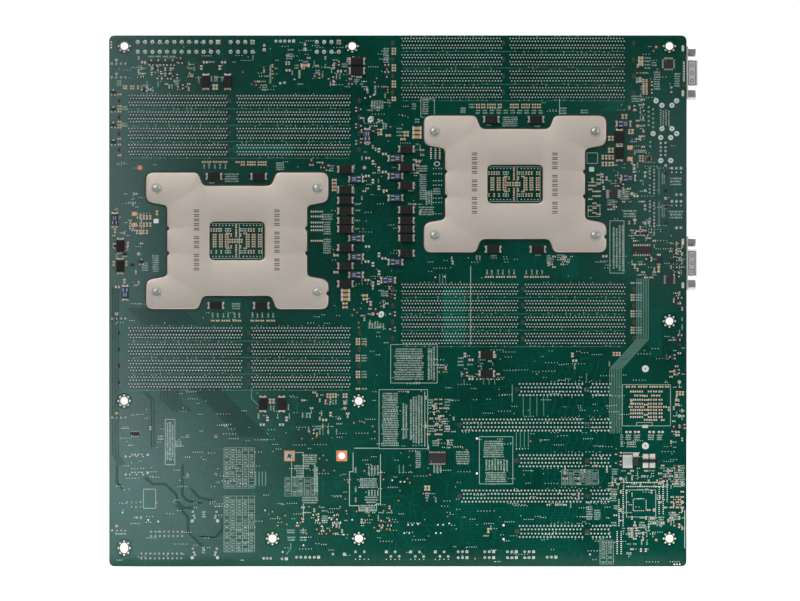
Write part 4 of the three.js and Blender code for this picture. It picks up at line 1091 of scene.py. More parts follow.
table(-99.8, -82.2, -107.5, -84.2, 12, 5)
table(-99.8, -82.2, -144, -112, 17, 5)
table(94, 115, -105.5, -97, 6, 6)
table(116, 123.8, -151, -137.3, 9, 2)
table(-64.8, -46.2, -112, -101.4, 8, 5)
for bounds in ROWS:
    label_block(*bounds)
COLUMNS = [
    (-73.9, -72.5, 124, 136), (-17.9, -16.9, 119, 122), (-13.5, -12.5, 118, 124),
    (-15.5, -8.2, 110, 115.5), (-9, -6, 98.5, 102.5), (15.8, 20, 55, 64), (17, 21.5, -46, -26),
    (6.7, 14.4, -82, -54), (-48.3, -45.8, -111, -94), (-17.5, -10.7, -100, -94),
    (-17.5, -10.7, -112, -108), (20, 25.4, -99, -94), (50, 63.5, -97.5, -90.5), (123, 130, 17, 44),
    (-133, -128.6, -92, -69), (2.4, 5.6, -80, -58), (-17.1, -7.6, -16, -12.4)]
for bounds in COLUMNS:
    label_block(*bounds, pitch=1.6, upright=True)

labels(row(TRANSISTOR_ROW, 140.3), 3.4)
labels(column(-118.5, (135.8, 133.5, 130.2)), 3.4)
labels([
    (-61.5, 144.2), (-53, 137.3), (-36, 138.3), (-30.5, 136), (-30.5, 134.6), (-23.5, 127), (52.5, 101),
    (80, 100.3), (42.5, 112.8), (42.5, 111.2), (1, 99), (1, 97), (1, 95), (-106.5, 67.8), (9, 73.5),
    (7.5, 63.3), (7.5, 55.7), (55, 26), (80.5, 26.3), (28.5, -56.5), (28.5, -58.1), (28.5, -59.8),
    (28.5, -61.7), (36, -32.8), (36, -34.8), (36, -36.8), (41.5, -36.5), (41.8, -43.2), (48.7, -33.8),
    (48.7, -44.7), (26.8, -67.8), (26.2, -69.4), (122.4, -104.6), (122.4, -106.1), (-42, -120.5),
    (132.9, -144.6), (50.8, -134.8), (-20, -8.4), (-107, 137.2), (-19.5, 3.2)], 3.4)
labels(column(143.2, (139.5, 137.6, 135.6, 133.7)), 3.4)
labels(column(-23.2, (55.6, 52, 46.2, 41.4)) + column(-19.2, MIDDLE_STACK), 3.2)
labels(row(range(46, 84, 4), 109.3) + row(range(46, 84, 4), 107.9), 2.6)
labels([
    (x, 127.5) for x in (-114.3, -107, -105, -103.8, -101)] + [(-148.8, 131.2), (-60.6, 131.2),
    (-38, 132.5), (-35.2, 128.8), (-33.3, 129), (-38.7, 125), (-7.3, 118), (-19.5, 104), (-25.2, 77),
    (-25.2, 63), (45.3, 24.9), (47, 24.9), (31, 24), (-73, -61.3), (-71.3, -61.3), (-62.8, -61),
    (-80, -66), (-69, -66), (-62.3, -66), (-43.8, -64.5), (-54.7, -65.5), (-52.3, -65.5), (-50.5, -65.5),
    (36.5, -42), (101.5, -37.5), (121.4, -36), (21.8, -114), (53.4, -130), (142.9, -134), (146.4, -134),
    (140, -138.5), (143, -138.5), (-24.2, -97), (-24.2, -108), (-24.2, -114), (154.2, -32)], 3.2, 90)
labels(row((-111.2, -108.3, -105, -102, -99), 77.4) + row(BELOW_RIGHT_PLATE[:-1], 16.6), 3.0, 90)
labels(row(BELOW_LEFT_PLATE, -8.1) + row(BELOW_LEFT_BANK, -57.9), 3.0, 90)
labels([(x, z) for x in (-20.6, -4.7) for z in (82, 71.7, 59.2, 22.6, 12)], 2.4, 90)

for bounds in (
        (-4.1, 22.6, -47.1, -25), (-10.8, 17.1, -84.8, -50.9), (46.8, 66, -105, -77.9),
        (128.9, 156.5, -71.7, -48), (121.7, 129.8, 16, 46), (-133.5, -128, -94, -68),
        (108.5, 114.7, 79, 85), (131.2, 148, -124, -108.5), (-146, -139, -119, -108),
        (13.2, 21, 105.5, 116), (-61, -54.2, -101, -87), (137, 146, -71.5, -69.8)):
    legend_box(*bounds)
for path in (
        ((-25.7, -87), (-25.7, -98), (-27.8, -98), (-27.8, -117.5), (-22.3, -117.5), (-22.3, -120.5),
        (-12.3, -120.5), (-12.3, -116.5), (-10, -116.5), (-10, -88)), ((-54.2, -116.5), (-54.2, -125.7)),
        ((92.8, 116), (92.8, 107)), ((41.8, 20), (41.8, -25)), ((-11, -84.5), (-25, -84.5)), ((15.5, -52),
        (15.5, -83.5)), ((164.7, -120), (164.7, -142))):
    legend_line(path, 0.4)

# The decoupling parts under the management chip.
for z in (-52.0, -56.7, -59.0, -62.6, -64.5, -66.6):
    resistors([(x, z) for x in (134.4, 137.0, 139.6, 144.6, 147.6, 150.8)], 0, 1.9, 0.9)
capacitors(row((132, 135.3, 139, 142, 145.6, 148.3, 151.3, 154.5), -49.2), 2.1, 0.95)
capacitors(row((136.8, 139.9, 146.5, 149.5), -54.3), 2.1, 0.95)
capacitors(row((133.7, 137.2, 140.2, 144.5, 147.5, 150.3, 153.3), -60.8), 2.1, 0.95)
capacitors(column(142.3, (-54.5, -56.8, -59.5, -62.5, -65.3, -68.2)) + row((145, 147.8, 152), -68.3),
           1.9, 0.95)
capacitors([(134.1, -58.2), (155.5, -61.9)], 2.2, 1.0, 90)
silver.add(brick(3.4, 1.7, 0, 0.9, 0.2, 0.3), [(141.9, -72)])
pads.add(brick(1.3, 1.1, SUNK, 0.08), row((131.3, 133.4, 136.2, 138.2, 144.5, 146.8, 149.9, 152), -75.2))
silver_dots(row([128.4 + i for i in range(11)], -87.2), 0.35)
for first, z in ((131, -104.2), (131.5, -106.5)):
    silver_dots(row([first + i for i in range(22)], z), 0.36)
for x, top, bottom in (
        (129.3, -108, -129), (126.9, -113, -129), (125.9, -131.5, -145), (128.2, -131.5, -145),
        (150, -106.5, -122), (152.3, -104, -122), (154.6, -104, -115)):
    silver_dots([(x, z) for z in np.arange(bottom, top, 1.15)], 0.36)
for side in (-1, 1):
    silver_dots([(138.8 + side * 3.7, z) for z in np.arange(-120, -113.5, 1.1)], 0.3)
    silver_dots([(x, -117 + side * 3.4) for x in np.arange(135.6, 142.2, 1.1)], 0.3)
capacitors([(x, z) for x in (157.5, 160.5, 163.2) for z in (-112.5, -115.5, -118.5)], 1.7, 0.9)
resistors([(x, z) for x in (-49.0, -46.5, -44.0) for z in (51.3, 48.5, 45, 42.7, 40.6, 34.5)], 0, 1.7, 0.8)
resistors([(x, z) for x in (19.0, 21.6, 24.0) for z in (87.0, 84.6, 82.4)], 90, 1.6, 0.8)
silver_dots([(x, z) for x in (20.5, 22, 23.6, 25) for z in (76, 73, 69, 66.5, 59, 56.5, 50)], 0.3)
resistors([
    (-141.3, 133.5), (-141.3, 130.5), (-136, 131), (-133.5, 133), (-133.5, 130), (-130.5, 133),
    (-130.5, 130), (31.5, 22), (-56.5, 131.4), (-56.5, 129), (137.0, -131), (137.0, -134.2),
    (139.5, -143), (142.3, -143), (-142.0, -73.0), (27.5, -38.5)], 90, 1.7, 0.9)

dots([
    (-128.5, 126.8), (-126.8, 137), (-120.7, 134), (-119.5, 131), (-120.5, 128.7), (-89, 131.3),
    (-82, 126), (-81.3, 124), (-78.5, 123.8), (-77, 134), (-72, 132), (-72, 130.3), (-72, 128),
    (-12.2, 127.8), (-13.2, 125.5), (-11.1, 123.1), (-5.8, 122.8), (-5.8, 121.3), (-5.8, 119.8),
    (-4.2, 100), (146.8, 143.5), (137.3, 131), (139.2, 131), (149, 133), (-22.5, -12.5), (-22.5, -15.3),
    (-25.2, -5), (-23.4, -6.6), (-26.1, -8.2), (-18.3, -23.3), (-18.4, -25.5), (-57, -73.8), (-55, -79),
    (-49, -79), (-46.8, -78.2), (-25.2, -70), (-19.2, -69.8), (-14.5, -72), (-13.3, -75), (-42.8, -88.7),
    (-45, -90.5), (-40.8, -91.3), (23.7, -40.7), (26.3, -40.7), (28, -40.7), (39.5, -85.5), (76.1, -80.5),
    (81.9, -80.5), (79.8, -42), (-157.2, -108.4), (-138.4, -115.9), (5.5, -102), (6.9, -104.3),
    (18.6, -99.8), (14.6, -110.5), (16.7, -114.6), (0.3, -114.6), (44.3, -148), (158.5, 1.5),
    (158.5, -22), (-19.9, 41.3), (-161.5, -7.7)], 0.42)
dots([
    (-42.5, -97.2), (-36.5, -97.4), (-19.2, -97.5), (-9.7, -97.6), (-28.5, -104), (-8.2, -102.5),
    (-64.7, -106.7), (-72, -121), (-69, -124), (-64.7, -123.2), (-55.2, -124.9), (-63.7, -128.2),
    (-69, -129), (-51, -118.1), (-44.9, -118.1), (-33.1, -118.1), (-47.9, -121), (-46.8, -122.7),
    (-34.8, -122.4), (-29.7, -120.5), (-23.7, -120.8), (-8.2, -120.5), (-3.7, -120.5), (-16.5, -123.2),
    (-18.5, -126.2), (-8.3, -126.5), (-13.6, -130.1), (-8.9, -130.1), (-6.4, -131), (-4.7, -131),
    (-45, -127.8), (-46.5, -131.1), (-45.2, -133.6), (-43.7, -133.6), (-41, -133.6), (-37, -133.6),
    (-39, -131.8), (-52.5, -133.5), (-55.8, -127.3)], 0.42)
silver_dots([
    (-164.5, 148.5), (-164.5, 147), (-164.5, 145.3), (-138, 127.7), (-135.5, 127.7), (-59.3, 127.2),
    (-18.8, 116.5), (-15.8, 117.3), (-13.8, 118.3), (21.5, 13.6), (26.8, 13.9), (5.9, -52.2),
    (-158, -121.5), (-143.3, -125.7), (-137.5, -126.6), (-76.2, -120.2), (-57.7, -127.4), (-48.6, -122.8),
    (-45.6, -122.3), (-45.6, -123.8), (-45.6, -125.3), (-43.7, -129.3), (-39.4, -124.4), (-38.1, -125.4),
    (-36.5, -123.1), (-35, -125.4), (-33, -127.4), (-37.2, -128.7), (-31.3, -134.1), (-26.2, -125.6),
    (-54.2, -140.2), (-3.2, -102.9), (-66.2, -144.1), (1.5, -103.8), (3.8, -103.8), (11.6, -128),
    (29.5, -127.7), (5.9, -128.5), (8.3, -128.5), (3.7, -133.3), (6.6, -133.3), (23, -128.5),
    (26, -128.5), (21.9, -133.2), (24.6, -133.2), (110.3, -145.5), (158.7, -151.2), (160.2, -151.2),
    (161.8, -151.2)], 0.5)
joints([(-67.5, 125), (-65, 125.2), (-161.5, 138.3), (-161.5, 130.3)], 0.8)

# Stretches that the crowded patches and the loose vias leave alone: x, z, half width, half depth.
CLEAR = [(cx, cz, 54, 41) for cx, cz in SOCKETS.values()]
CLEAR += [(sum(b["runs"][0]) / 4 + sum(b["runs"][-1]) / 4, b["first"] - 1.5 * SLOT_PITCH, 72, 19.6)
          for b in BANKS.values()]
CLEAR += [(x, z, 6.2, 6.2) for x, z in MOUNTING_HOLES + [(142.1, -38.9), (142.1, -83.2),
                                                         DRIVE_SCREW, DRIVE_HOLE]]
CLEAR += [(131.9, -92.1, 4.5, 5), (144.2, -91.7, 5, 5), (155.3, 136.1, 5, 5), (123.7, 61.4, 5, 4),
          (140, 29.2, 7, 4),
          (155.9, 12.3, 4, 4), (22.6, -90.2, 6.5, 5), (129.5, 101.6, 5, 3), (132.2, 70.6, 5, 3),
          (127.2, 89.5, 4, 10),
          (142.7, -59.9, 15, 13), (154.5, 104, 8, 14)]


def is_open(x, z):
    """True where a loose part would stand on plain board."""
    return all(abs(x - cx) > half_x or abs(z - cz) > half_z for cx, cz, half_x, half_z in CLEAR)


def cluster(x_low, x_high, z_low, z_high, count):
    """Crowds a patch with small parts, pads and ticks on a loose grid."""
    for _ in range(count):
        x = round(draw.uniform(x_low, x_high) / 1.6) * 1.6
        z = round(draw.uniform(z_low, z_high) / 1.5) * 1.5
        kind, turn = draw.random(), draw.choice((0, 90))
        if not is_open(x, z):
            continue
        if kind < 0.22:
            resistors([(x, z)], turn, 1.7, 0.8)
        elif kind < 0.4:
            capacitors([(x, z)], 1.7, 0.85, turn)
        elif kind < 0.7:
            label(x, z, draw.choice((2.0, 2.8, 3.4)), 0.8, turn)
        elif kind < 0.76:
            transistors([(x, z)], turn)
        else:
            silver_dots([(x, z), (x + 1.1, z)], 0.3)


for patch in (
        (116, 127, 53, 84, 75), (133, 148, 13, 47, 70), (156, 164, 14, 34, 28), (157, 164, -34, 6, 30),
        (157, 164, -84, -37, 36), (128, 164, -107, -95, 60), (143, 164, -132, -108, 50),
        (117, 136, -133, -88, 40), (129, 146, -146, -124, 30), (87, 101, 19, 33, 24),
        (-50, -37, 27, 80, 60), (9, 25, 46, 90, 55), (-30, -19, 84, 128, 30), (-20, -8, 60, 124, 30),
        (-20, -2, -24, 8, 26), (-163, -150, 22, 62, 34), (-150, -143, 6, 50, 22), (128, 142, 56, 96, 34),
        (133, 142, 98, 140, 36), (38, 58, -48, -31, 20), (16, 32, -86, -54, 36),
        (-58, -4, -134, -118, 42), (-84, -20, 124, 142, 40), (-150, -116, 118, 140, 40),
        (-56, -28, -76, -52, 30), (86, 128, -118, -94, 20)):
    cluster(*patch)

# ---------------------------------------------------------------- copper under the mask

# Diagonal bundles leaving the slots, darker than the mask where they cross its hazy part: their darker colour
# is painted shade, a shaded copy of the covered copper.
bundle([(-155, -4), (-145.5, -13.5)], 16, (2.0, 0), 0.6, dark_tracks)
bundle([(-118, -50), (-116, -52), (-90, -78)], 10, (1.7, 0), 0.62, dark_tracks)
bundle([(-136, -50), (-136, -56), (-128, -64)], 6, (1.9, 0), 0.5, dark_tracks)
bundle([(-163.6, 8), (-163.6, -88), (-160, -94)], 3, (1.5, 0), 0.5, dark_tracks)
bundle([(-146, -52), (-141.5, -57), (-141.5, -84)], 2, (1.5, 0), 0.5, dark_tracks)
bundle([(-161.6, -94), (-161.6, -104), (-158, -108.5)], 2, (0.9, 0), 0.5, dark_tracks)
bundle([(-145.3, -101.5), (-141, -105.6), (-133.5, -105.6), (-127, -111.8), (-127, -115), (-123, -119.2),
        (-117.5, -119.2)], 2, (0.2, 0.9), 0.5, dark_tracks)
bundle([(-127.7, -116.8), (-120.8, -124.3), (-120.8, -132.8), (-112.3, -141.3)], 2, (0.9, 0.2),
       0.5, dark_tracks)
bundle([(-124, -94), (-124, -112), (-121, -115), (-113, -116.3)], 2, (0.8, 0.4), 0.5, dark_tracks)
bundle([(-119, -108), (-114, -113.5), (-106, -115)], 2, (0.3, 0.8), 0.5, dark_tracks)
bundle([(-101, -125), (-101, -131), (-105, -135.5), (-114, -135)], 2, (0.8, -0.3), 0.5, dark_tracks)
bundle([(117.5, 109.5), (123.5, 115)], 6, (1.2, -0.2), 0.5)
bundle([(129, 109), (134.5, 115)], 5, (1.3, 0), 0.5)
bundle([(132, 115), (132, 125)], 3, (1.1, 0), 0.4)
bundle([(93, 27), (95, 13)], 8, (1.25, 0), 0.5)
bundle([(145.5, -5), (145.5, -32)], 6, (1.05, 0), 0.4)
bundle([(68, -75), (68, -84)], 4, (2.3, 0), 0.4, pale_tracks)
bundle([(72, -55), (72, -66)], 4, (3.9, 0), 0.4, pale_tracks)
bundle([(-43, -70), (-43, -77)], 2, (3.2, 0), 0.5, pale_tracks)
bundle([(24, 10), (24, 15.5)], 3, (1.7, 0), 0.5, pale_tracks)
bundle([(0.8, -94), (0.8, -99)], 2, (2.4, 0), 0.6, pale_tracks)
bundle([(-81.6, -98), (-81.6, -106)], 4, (1.9, 0), 0.6, pale_tracks)
bundle([(38, -45), (38, -48)], 1, (0, 0), 0.5, pale_tracks)
bundle([(49.2, -45), (49.2, -48)], 3, (3.2, 0), 0.5, pale_tracks)
for path in (
        ((-61.5, -139), (-61.5, -142), (-64, -145.5)), ((65.7, -48), (65.7, -58)), ((108.3, -41.5),
        (108.3, -47)), ((-84, -50), (-84, -56), (-79, -61))):
    track(path, 0.6, pale_tracks)
bundle([(137.2, 13), (137.2, -22), (121.6, -39), (121.6, -76)], 8, (0.95, 0), 0.4, pale_tracks)
for left, right, low, high in ((-95, -60, 84, 90), (26, 39, -24, 8)):
    tracks.add(brick(right - left, high - low, SUNK, 0.012, 0, 1.2),
               [((left + right) / 2, (low + high) / 2)])


def on_board(points):
    """Holds a path inside the board's edge."""
    return np.clip(points, (-HALF_X + 1.2, -HALF_Z + 1.2), (HALF_X - 1.2, HALF_Z - 1.2))


# Each memory bank: short tracks with a jog beside the rows of pins, and a via at the start of each.
for bank in BANKS.values():
    for slot_z in slot_rows(bank):
        for start, end in bank["runs"]:
            for x in np.arange(start + 3, end - 3, 2.55):
                if draw.random() < 0.72:
                    z = slot_z + draw.choice((-4.6, -4.2, 3.9, 4.1))
                    reach, jog = draw.uniform(1.4, 4.4), draw.choice((-0.8, 0.8))
                    track(on_board([(x, z), (x + reach, z), (x + reach + 0.8, z + jog)]), 0.28)
                    silver_dots([(x - 0.2, z)], 0.24)
        track([(bank["runs"][0][0], slot_z - 4.72), (bank["runs"][-1][1], slot_z - 4.72)],
              0.22, pale_tracks)
for x in np.arange(86, 131, 2.7):
    for slot in range(3):
        track([(x, 8.2 - slot * SLOT_PITCH), (x, 3.1 - slot * SLOT_PITCH)], 0.3)
for slot_z, _ in CARD_SLOTS.values():
    for x in np.arange(84, 118, 4.1):
        track([(x, slot_z + 4), (x, slot_z + 8.5), (x + 2, slot_z + 10.5), (x + 2, slot_z + 15.5)], 0.34)
    for x in np.arange(86, 118, 2.0):
        silver_dots([(x, slot_z + draw.choice((4.4, 5.1, -4.4)))], 0.26)

for field in (
        (-143, 79.3, 10, 4, 1.67), (-36.5, -73, 5, 6, 1.6), (-77.5, -76, 8, 6, 1.6),
        (-83, -112.5, 6, 3, 1.7), (-73, -109, 10, 3, 1.7), (-80.5, -124, 2, 9, 1.7),
        (36, -125, 8, 9, 1.7), (56, -125, 3, 6, 1.7), (33, -119, 31, 3, 1.7), (50, -53, 7, 6, 1.7),
        (-160, 66, 8, 8, 1.7), (-50, 108, 9, 6, 1.7), (20, 118, 8, 9, 1.7), (-36, -98, 6, 6, 1.7),
        (80, -118, 12, 10, 1.7), (-20, -25, 3, 8, 1.7)):
    via_field(*field)

# Loose vias and short tracks over the plain stretches, thinned out near the parts already placed.
LOOSE_TRIES, TOP_PART_TRIES, TOP_TRACK_TRIES = 2600, 1500, 1300
for _ in range(LOOSE_TRIES):
    x, z = draw.uniform(-163, 158), draw.uniform(-150, 150)
    if not is_open(x, z):
        continue
    if draw.random() < 0.55:
        count, pitch = draw.choice((1, 2, 3, 5)), draw.choice((1.3, 1.7))
        silver_dots([(x + i * pitch, z) for i in range(count)], 0.26)
    else:
        reach, turn = draw.uniform(2, 9), draw.choice((-1, 1))
        down = draw.choice((0, reach))
        end = (x + turn * (1.5 + reach - down), z - 1.5 - down)
        track(on_board([(x, z), (x + turn * 1.5, z - 1.5), end]), 0.28)

# ---------------------------------------------------------------- CAD shapes with their edges rounded

FINISHES = {"plate_steel": PLATE, "frame_steel": STEEL, "screw_steel": SCREW, "socket_plastic": SOCKET,
            "slot_plastic": SLOT_BLACK, "latch_plastic": LATCH, "connector_metal": SHELL,
            "power_plastic": POWER, "heatsink_aluminium": ALUMINIUM}
ROUNDING = {"frame_steel": 0.22, "screw_steel": 0.12, "socket_plastic": 0.2, "slot_plastic": 0.16,
            "latch_plastic": 0.28, "connector_metal": 0.18, "power_plastic": 0.15, "heatsink_aluminium": 0.14}


def refined(name):
    """Stands in for a CAD node: the same shape with its edges rounded over."""
    source = frame["nodes"][name]
    slot = source.material_slots[0].material.name
    mesh = source.data.copy()
    mesh.transform(source.matrix_world)
    shape = bmesh.new()
    shape.from_mesh(mesh)
    bmesh.ops.remove_doubles(shape, verts=shape.verts, dist=1e-6)
    bmesh.ops.dissolve_limit(shape, angle_limit=math.radians(1), verts=shape.verts, edges=shape.edges)
    shape.to_mesh(mesh)
    shape.free()
    if "custom_normal" in mesh.attributes:
        mesh.attributes.remove(mesh.attributes["custom_normal"])
    mesh.materials.clear()
    mesh.materials.append(FINISHES[slot])
    mesh.shade_smooth()
    mesh.set_sharp_from_angle(angle=math.radians(38))
    piece = bpy.data.objects.new(f"{name}_formed", mesh)
    bpy.context.scene.collection.objects.link(piece)
    rounding = piece.modifiers.new("rounding", "BEVEL")
    rounding.width = ROUNDING[slot] * MM
    rounding.segments = 2
    rounding.limit_method = "ANGLE"
    rounding.angle_limit = math.radians(40)
    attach(piece, body_of(source)[0])
    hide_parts(name)


for name in sorted(frame["nodes"]):
    if name != "pcb" and not name.startswith("back_plate"):
        refined(name)

# ---------------------------------------------------------------- component side


def component(name, material, slot, body="board"):
    """A piece that stands on the component side."""
    return Piece(name, material, slot, body, "component")


def tray(width, depth, wall, high, floor, cut=0.0, soften=0.15):
    """A box open at the top, from the board up."""
    outer, inner = oblong(width, depth, cut), oblong(width - 2 * wall, depth - 2 * wall, cut)
    rim = oblong(width - 2 * soften, depth - 2 * soften, cut)
    return loft([level(outer, 0), level(outer, high - soften), level(rim, high), level(inner, high),
                 level(inner, floor)])


FERRITE = surface("ferrite_grey", (0.1, 0.1, 0.105), 0.55, vary=0.2, grain=3500, bump=0.04)
BLUE = surface("connector_blue", (0.02, 0.07, 0.3), 0.45, vary=0.12, grain=3000)
BEIGE = surface("header_beige", (0.6, 0.55, 0.42), 0.55, vary=0.08, grain=3000)
CAN = surface("capacitor_can", (0.72, 0.72, 0.73), 0.32, metallic=0.9, vary=0.06, bump=0.01)

top_black = component("component_side_plastic", POWER, "power_plastic")
top_beige = component("component_side_headers", BEIGE, "latch_plastic")
top_pins = component("component_side_pins", GOLD, "connector_metal")
top_contacts = component("slot_and_socket_contacts", GOLD, "connector_metal")
top_chips = component("component_side_chips", CHIP, "chip_epoxy")
top_green = component("chip_substrates", TRACK, "solder_mask")
top_leads = component("component_side_leads", PAD_TIN, "solder_tin")
top_tan = component("component_side_capacitors", TAN, "component_ceramic")
top_umber = component("component_side_resistors", UMBER, "component_ceramic")
top_chokes = component("regulator_chokes", FERRITE, "component_ceramic")
top_cans = component("polymer_capacitors", CAN, "connector_metal")
top_bars = component("polymer_capacitor_marks", NAVY, "legend_ink")
top_marks = component("component_side_legend", LEGEND, "legend_ink")
top_tracks = component("component_side_tracks", TRACK, "solder_mask")
top_fins = component("chip_heatsinks", ALUMINIUM, "heatsink_aluminium")
top_steel = component("coin_cell_and_standoff", CAN, "frame_steel")
TAKEN = []


def taken(x, z, half_x, half_z):
    """Keeps the scattered small parts off a place that is in use."""
    TAKEN.append((x, z, half_x + 1.4, half_z + 1.4))


for name in frame["nodes"]:
    low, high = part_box(name)
    if name != "pcb" and not name.startswith("back_plate"):
        taken((low[0] + high[0]) / 2 / MM, (low[2] + high[2]) / 2 / MM, (high[0] - low[0]) / 2 / MM,
              (high[2] - low[2]) / 2 / MM)

vga_block = Piece("vga_port_insulator", BLUE, "socket_plastic", "board", "rear")
# Dark discs on the port's face: painted shade of its contact holes, which the block does not hollow out.
vga_hole_shade = Piece("vga_port_painted_hole_shade", HOLE_SHADE, "connector_metal", "board", "rear")
vga_block.add(brick(6.4, 13.6, 170.4, 171.65, 0.25, 1.6), [(8.15, 21.7)])
for i, shift in enumerate((-2.0, 0.0, 2.0)):
    spots = [(8.15 + shift, 21.7 + (j - 2) * 2.3 + (0.6 if i == 1 else 0)) for j in range(5)]
    vga_hole_shade.add(turned([(0.5, 171.4), (0.5, 171.68)], 10), spots)

# Pressed dimples and seams on the D-shaped shells, on the side that shows past the board's edge: the dimples
# and seams are dark rings and lines of painted shade laid on the flat shell; the rims are raised metal.
dimple_shade = Piece("port_shell_painted_dimple_shade", HOLE_SHADE, "connector_metal")
rims = Piece("port_shell_rims", SHELL, "connector_metal")
for z, reach in ((131.0, 171.2), (21.7, 170.8)):
    for shift in (-4.4, 0.0, 4.4):
        dimple_shade.add(washer(0.75, 1.05, -3.97, -3.92, 16), [(169.2, z + shift)])
    dimple_shade.add(brick(0.3, 13.6, -3.97, -3.92), [(167.2, z), (reach, z)])
    dimple_shade.add(brick(3.8, 0.3, -3.97, -3.92), [(169.2, z + 6.8), (169.2, z - 6.8)])
    rims.add(brick(0.35, 13.9, -3.98, -3.85, 0.05), [(reach - 0.5, z)])

# Spring contacts in the processors' housings, round the plain middle.
field = [(-31.2 + 1.3 * i, -22.1 + 1.3 * j) for i in range(49) for j in range(35)]
field = [(x, z) for x, z in field if abs(x) > 10.4 or abs(z) > 8.4]
for cx, cz in SOCKETS.values():
    top_contacts.add(loft([level(oblong(0.8, 0.45), 1.0), level(oblong(0.55, 0.3) + (0.12, 0.08), 1.28)]),
                     [(cx + x, cz + z) for x, z in field])

# Star recesses in the heads of the load screws: a dark star of painted shade laid on each solid head,
# standing for the hollow.
for name in sorted(frame["nodes"]):
    if not name.startswith("load_screw"):
        continue
    low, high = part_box(name)
    x, z = (low[0] + high[0]) / 2 / MM, (low[2] + high[2]) / 2 / MM
    recess_shade = component(f"{name}_recess", HOLE_SHADE, "screw_steel", name)
    angles = np.arange(12) * math.pi / 6
    reach = np.where(np.arange(12) % 2, 1.25, 0.85)
    star = np.column_stack([reach * np.cos(angles), reach * np.sin(angles)])
    top = high[1] / MM - THICKNESS
    recess_shade.add(loft([level(star, top - 0.2), level(star, top + 0.01)]), [(x, z)])

# Painted shade of the cross recess in the drive standoff screw's head: two dark bars laid on the solid head.
cross = Piece("drive_standoff_screw_recess", HOLE_SHADE, "screw_steel", "drive_standoff_screw")
for turn in (35, 125):
    cross.add(brick(3.3, 0.75, 1.7, 1.92, 0, 0.2), [DRIVE_SCREW], turn)

for bank in BANKS.values():
    for slot_z in slot_rows(bank):
        for start, end in bank["runs"]:
            for side in (-0.64, 0.64):
                xs = np.arange(start, end, 1.27)
                top_contacts.add(brick(0.42, 0.22, 2.7, 8.7), [(x, slot_z + side) for x in xs])
for slot_z, left in CARD_SLOTS.values():
    slot_left = left - 1.9 if left > 50 else left - 9.9
    first = slot_left + (3.4 if left > 50 else 9.6)
    for start, end in ((first, 107.6), (111.2, 122.4)):
        for side in (-0.74, 0.74):
            xs = np.arange(start, end, 1.0)
            top_contacts.add(brick(0.42, 0.2, 2.9, 10.2), [(x, slot_z + side) for x in xs])

# Regulators: chokes beside the heatsinks and capacitors round the sockets.
for x, zs in ((-34.3, (18, 29.5, 41, 52.5, 64)), (10.3, (31, 42.5, 54, 65.5, 77))):
    for z in zs:
        top_chokes.add(brick(9.6, 9.6, 0.3, 7.2, 0.9, 1.2), [(x, z)])
        top_leads.add(brick(2.2, 10.4, SUNK, 1.6, 0.2), [(x - 2.6, z), (x + 2.6, z)])
        top_marks.add(brick(3.2, 0.7, 7.19, 7.21), [(x, z + 1), (x, z - 1)])
        taken(x, z, 5, 5.2)
can = turned([(2.9, 0.6), (3.1, 0.9), (3.1, 1.5), (2.9, 1.8), (2.9, 2.1), (3.12, 2.4), (3.12, 7.5),
              (2.9, 7.95),
              (2.4, 7.95), (2.3, 7.85)], 24)
CAN_ROWS = row(range(20, 120, 11), 110.4) + row(range(26, 122, 12), 19.8)
CAN_ROWS += [(x, z) for z in (77.8, -9.0) for x in range(-134, -50, 12)]
CAN_ROWS += [(-150.5, 60.0), (-150.5, 50.0), (-150.5, 40.0), (-150.5, 22.0), (-150.5, 12.0), (-72.0, 145.0)]
bar = loft([level(oval(1.9, 0.75, 12), height) for height in (7.8, 7.9)])
for x, z in CAN_ROWS:
    top_black.add(brick(6.8, 6.8, 0, 0.9, 0.15, 0.9), [(x, z)])
    top_cans.add(can, [(x, z)])
    top_bars.add(bar, [(x, z + 1.3)])
    taken(x, z, 3.6, 3.6)


def legged(x, z, width, depth, high, columns, rows, pitch):
    """A flat chip with legs on two or four sides."""
    top_chips.add(brick(width, depth, 0.15, high, 0.22, 0.5), [(x, z)])
    top_marks.add(turned([(0.5, high - 0.01), (0.5, high + 0.01)], 10),
                  [(x - width * 0.38, z + depth * 0.38)])
    for count, reach, turn in ((rows, width, 0), (columns, depth, 90)):
        leg = brick(1.5, pitch * 0.5, SUNK, 0.5, 0.12)
        for i in range(count):
            slide = (i - (count - 1) / 2) * pitch
            for side in (-1, 1):
                around(top_leads, leg, [(x, z)], turn, side * (reach / 2 + 0.55), slide)
    taken(x, z, width / 2 + 1.5, depth / 2 + 1.5)


CHIP_TOP = 2.4


def ball_mounted(x, z, width, depth, body):
    """A substrate soldered from beneath, with a moulded or bare block in its middle."""
    top_green.add(brick(width, depth, 0.35, 1.3, 0.1), [(x, z)])
    top_chips.add(brick(width * body, depth * body, 1.25, CHIP_TOP, 0.25, 0.6), [(x, z)])
    top_marks.add(brick(1.2, 1.2, 1.29, 1.32), [(x - width / 2 + 1.3, z - depth / 2 + 1.3)], 45)
    taken(x, z, width / 2, depth / 2)


def finned(x, z, width, depth, high, fins):
    """A small heatsink on a chip: a base and a row of upright fins."""
    top_fins.add(brick(width, depth, CHIP_TOP, CHIP_TOP + 2.2, 0.15), [(x, z)])
    for i in range(fins):
        slide = -width / 2 + 0.8 + i * (width - 1.6) / (fins - 1)
        top_fins.add(brick(1.0, depth, CHIP_TOP + 2.1, high, 0.2), [(x + slide, z)])


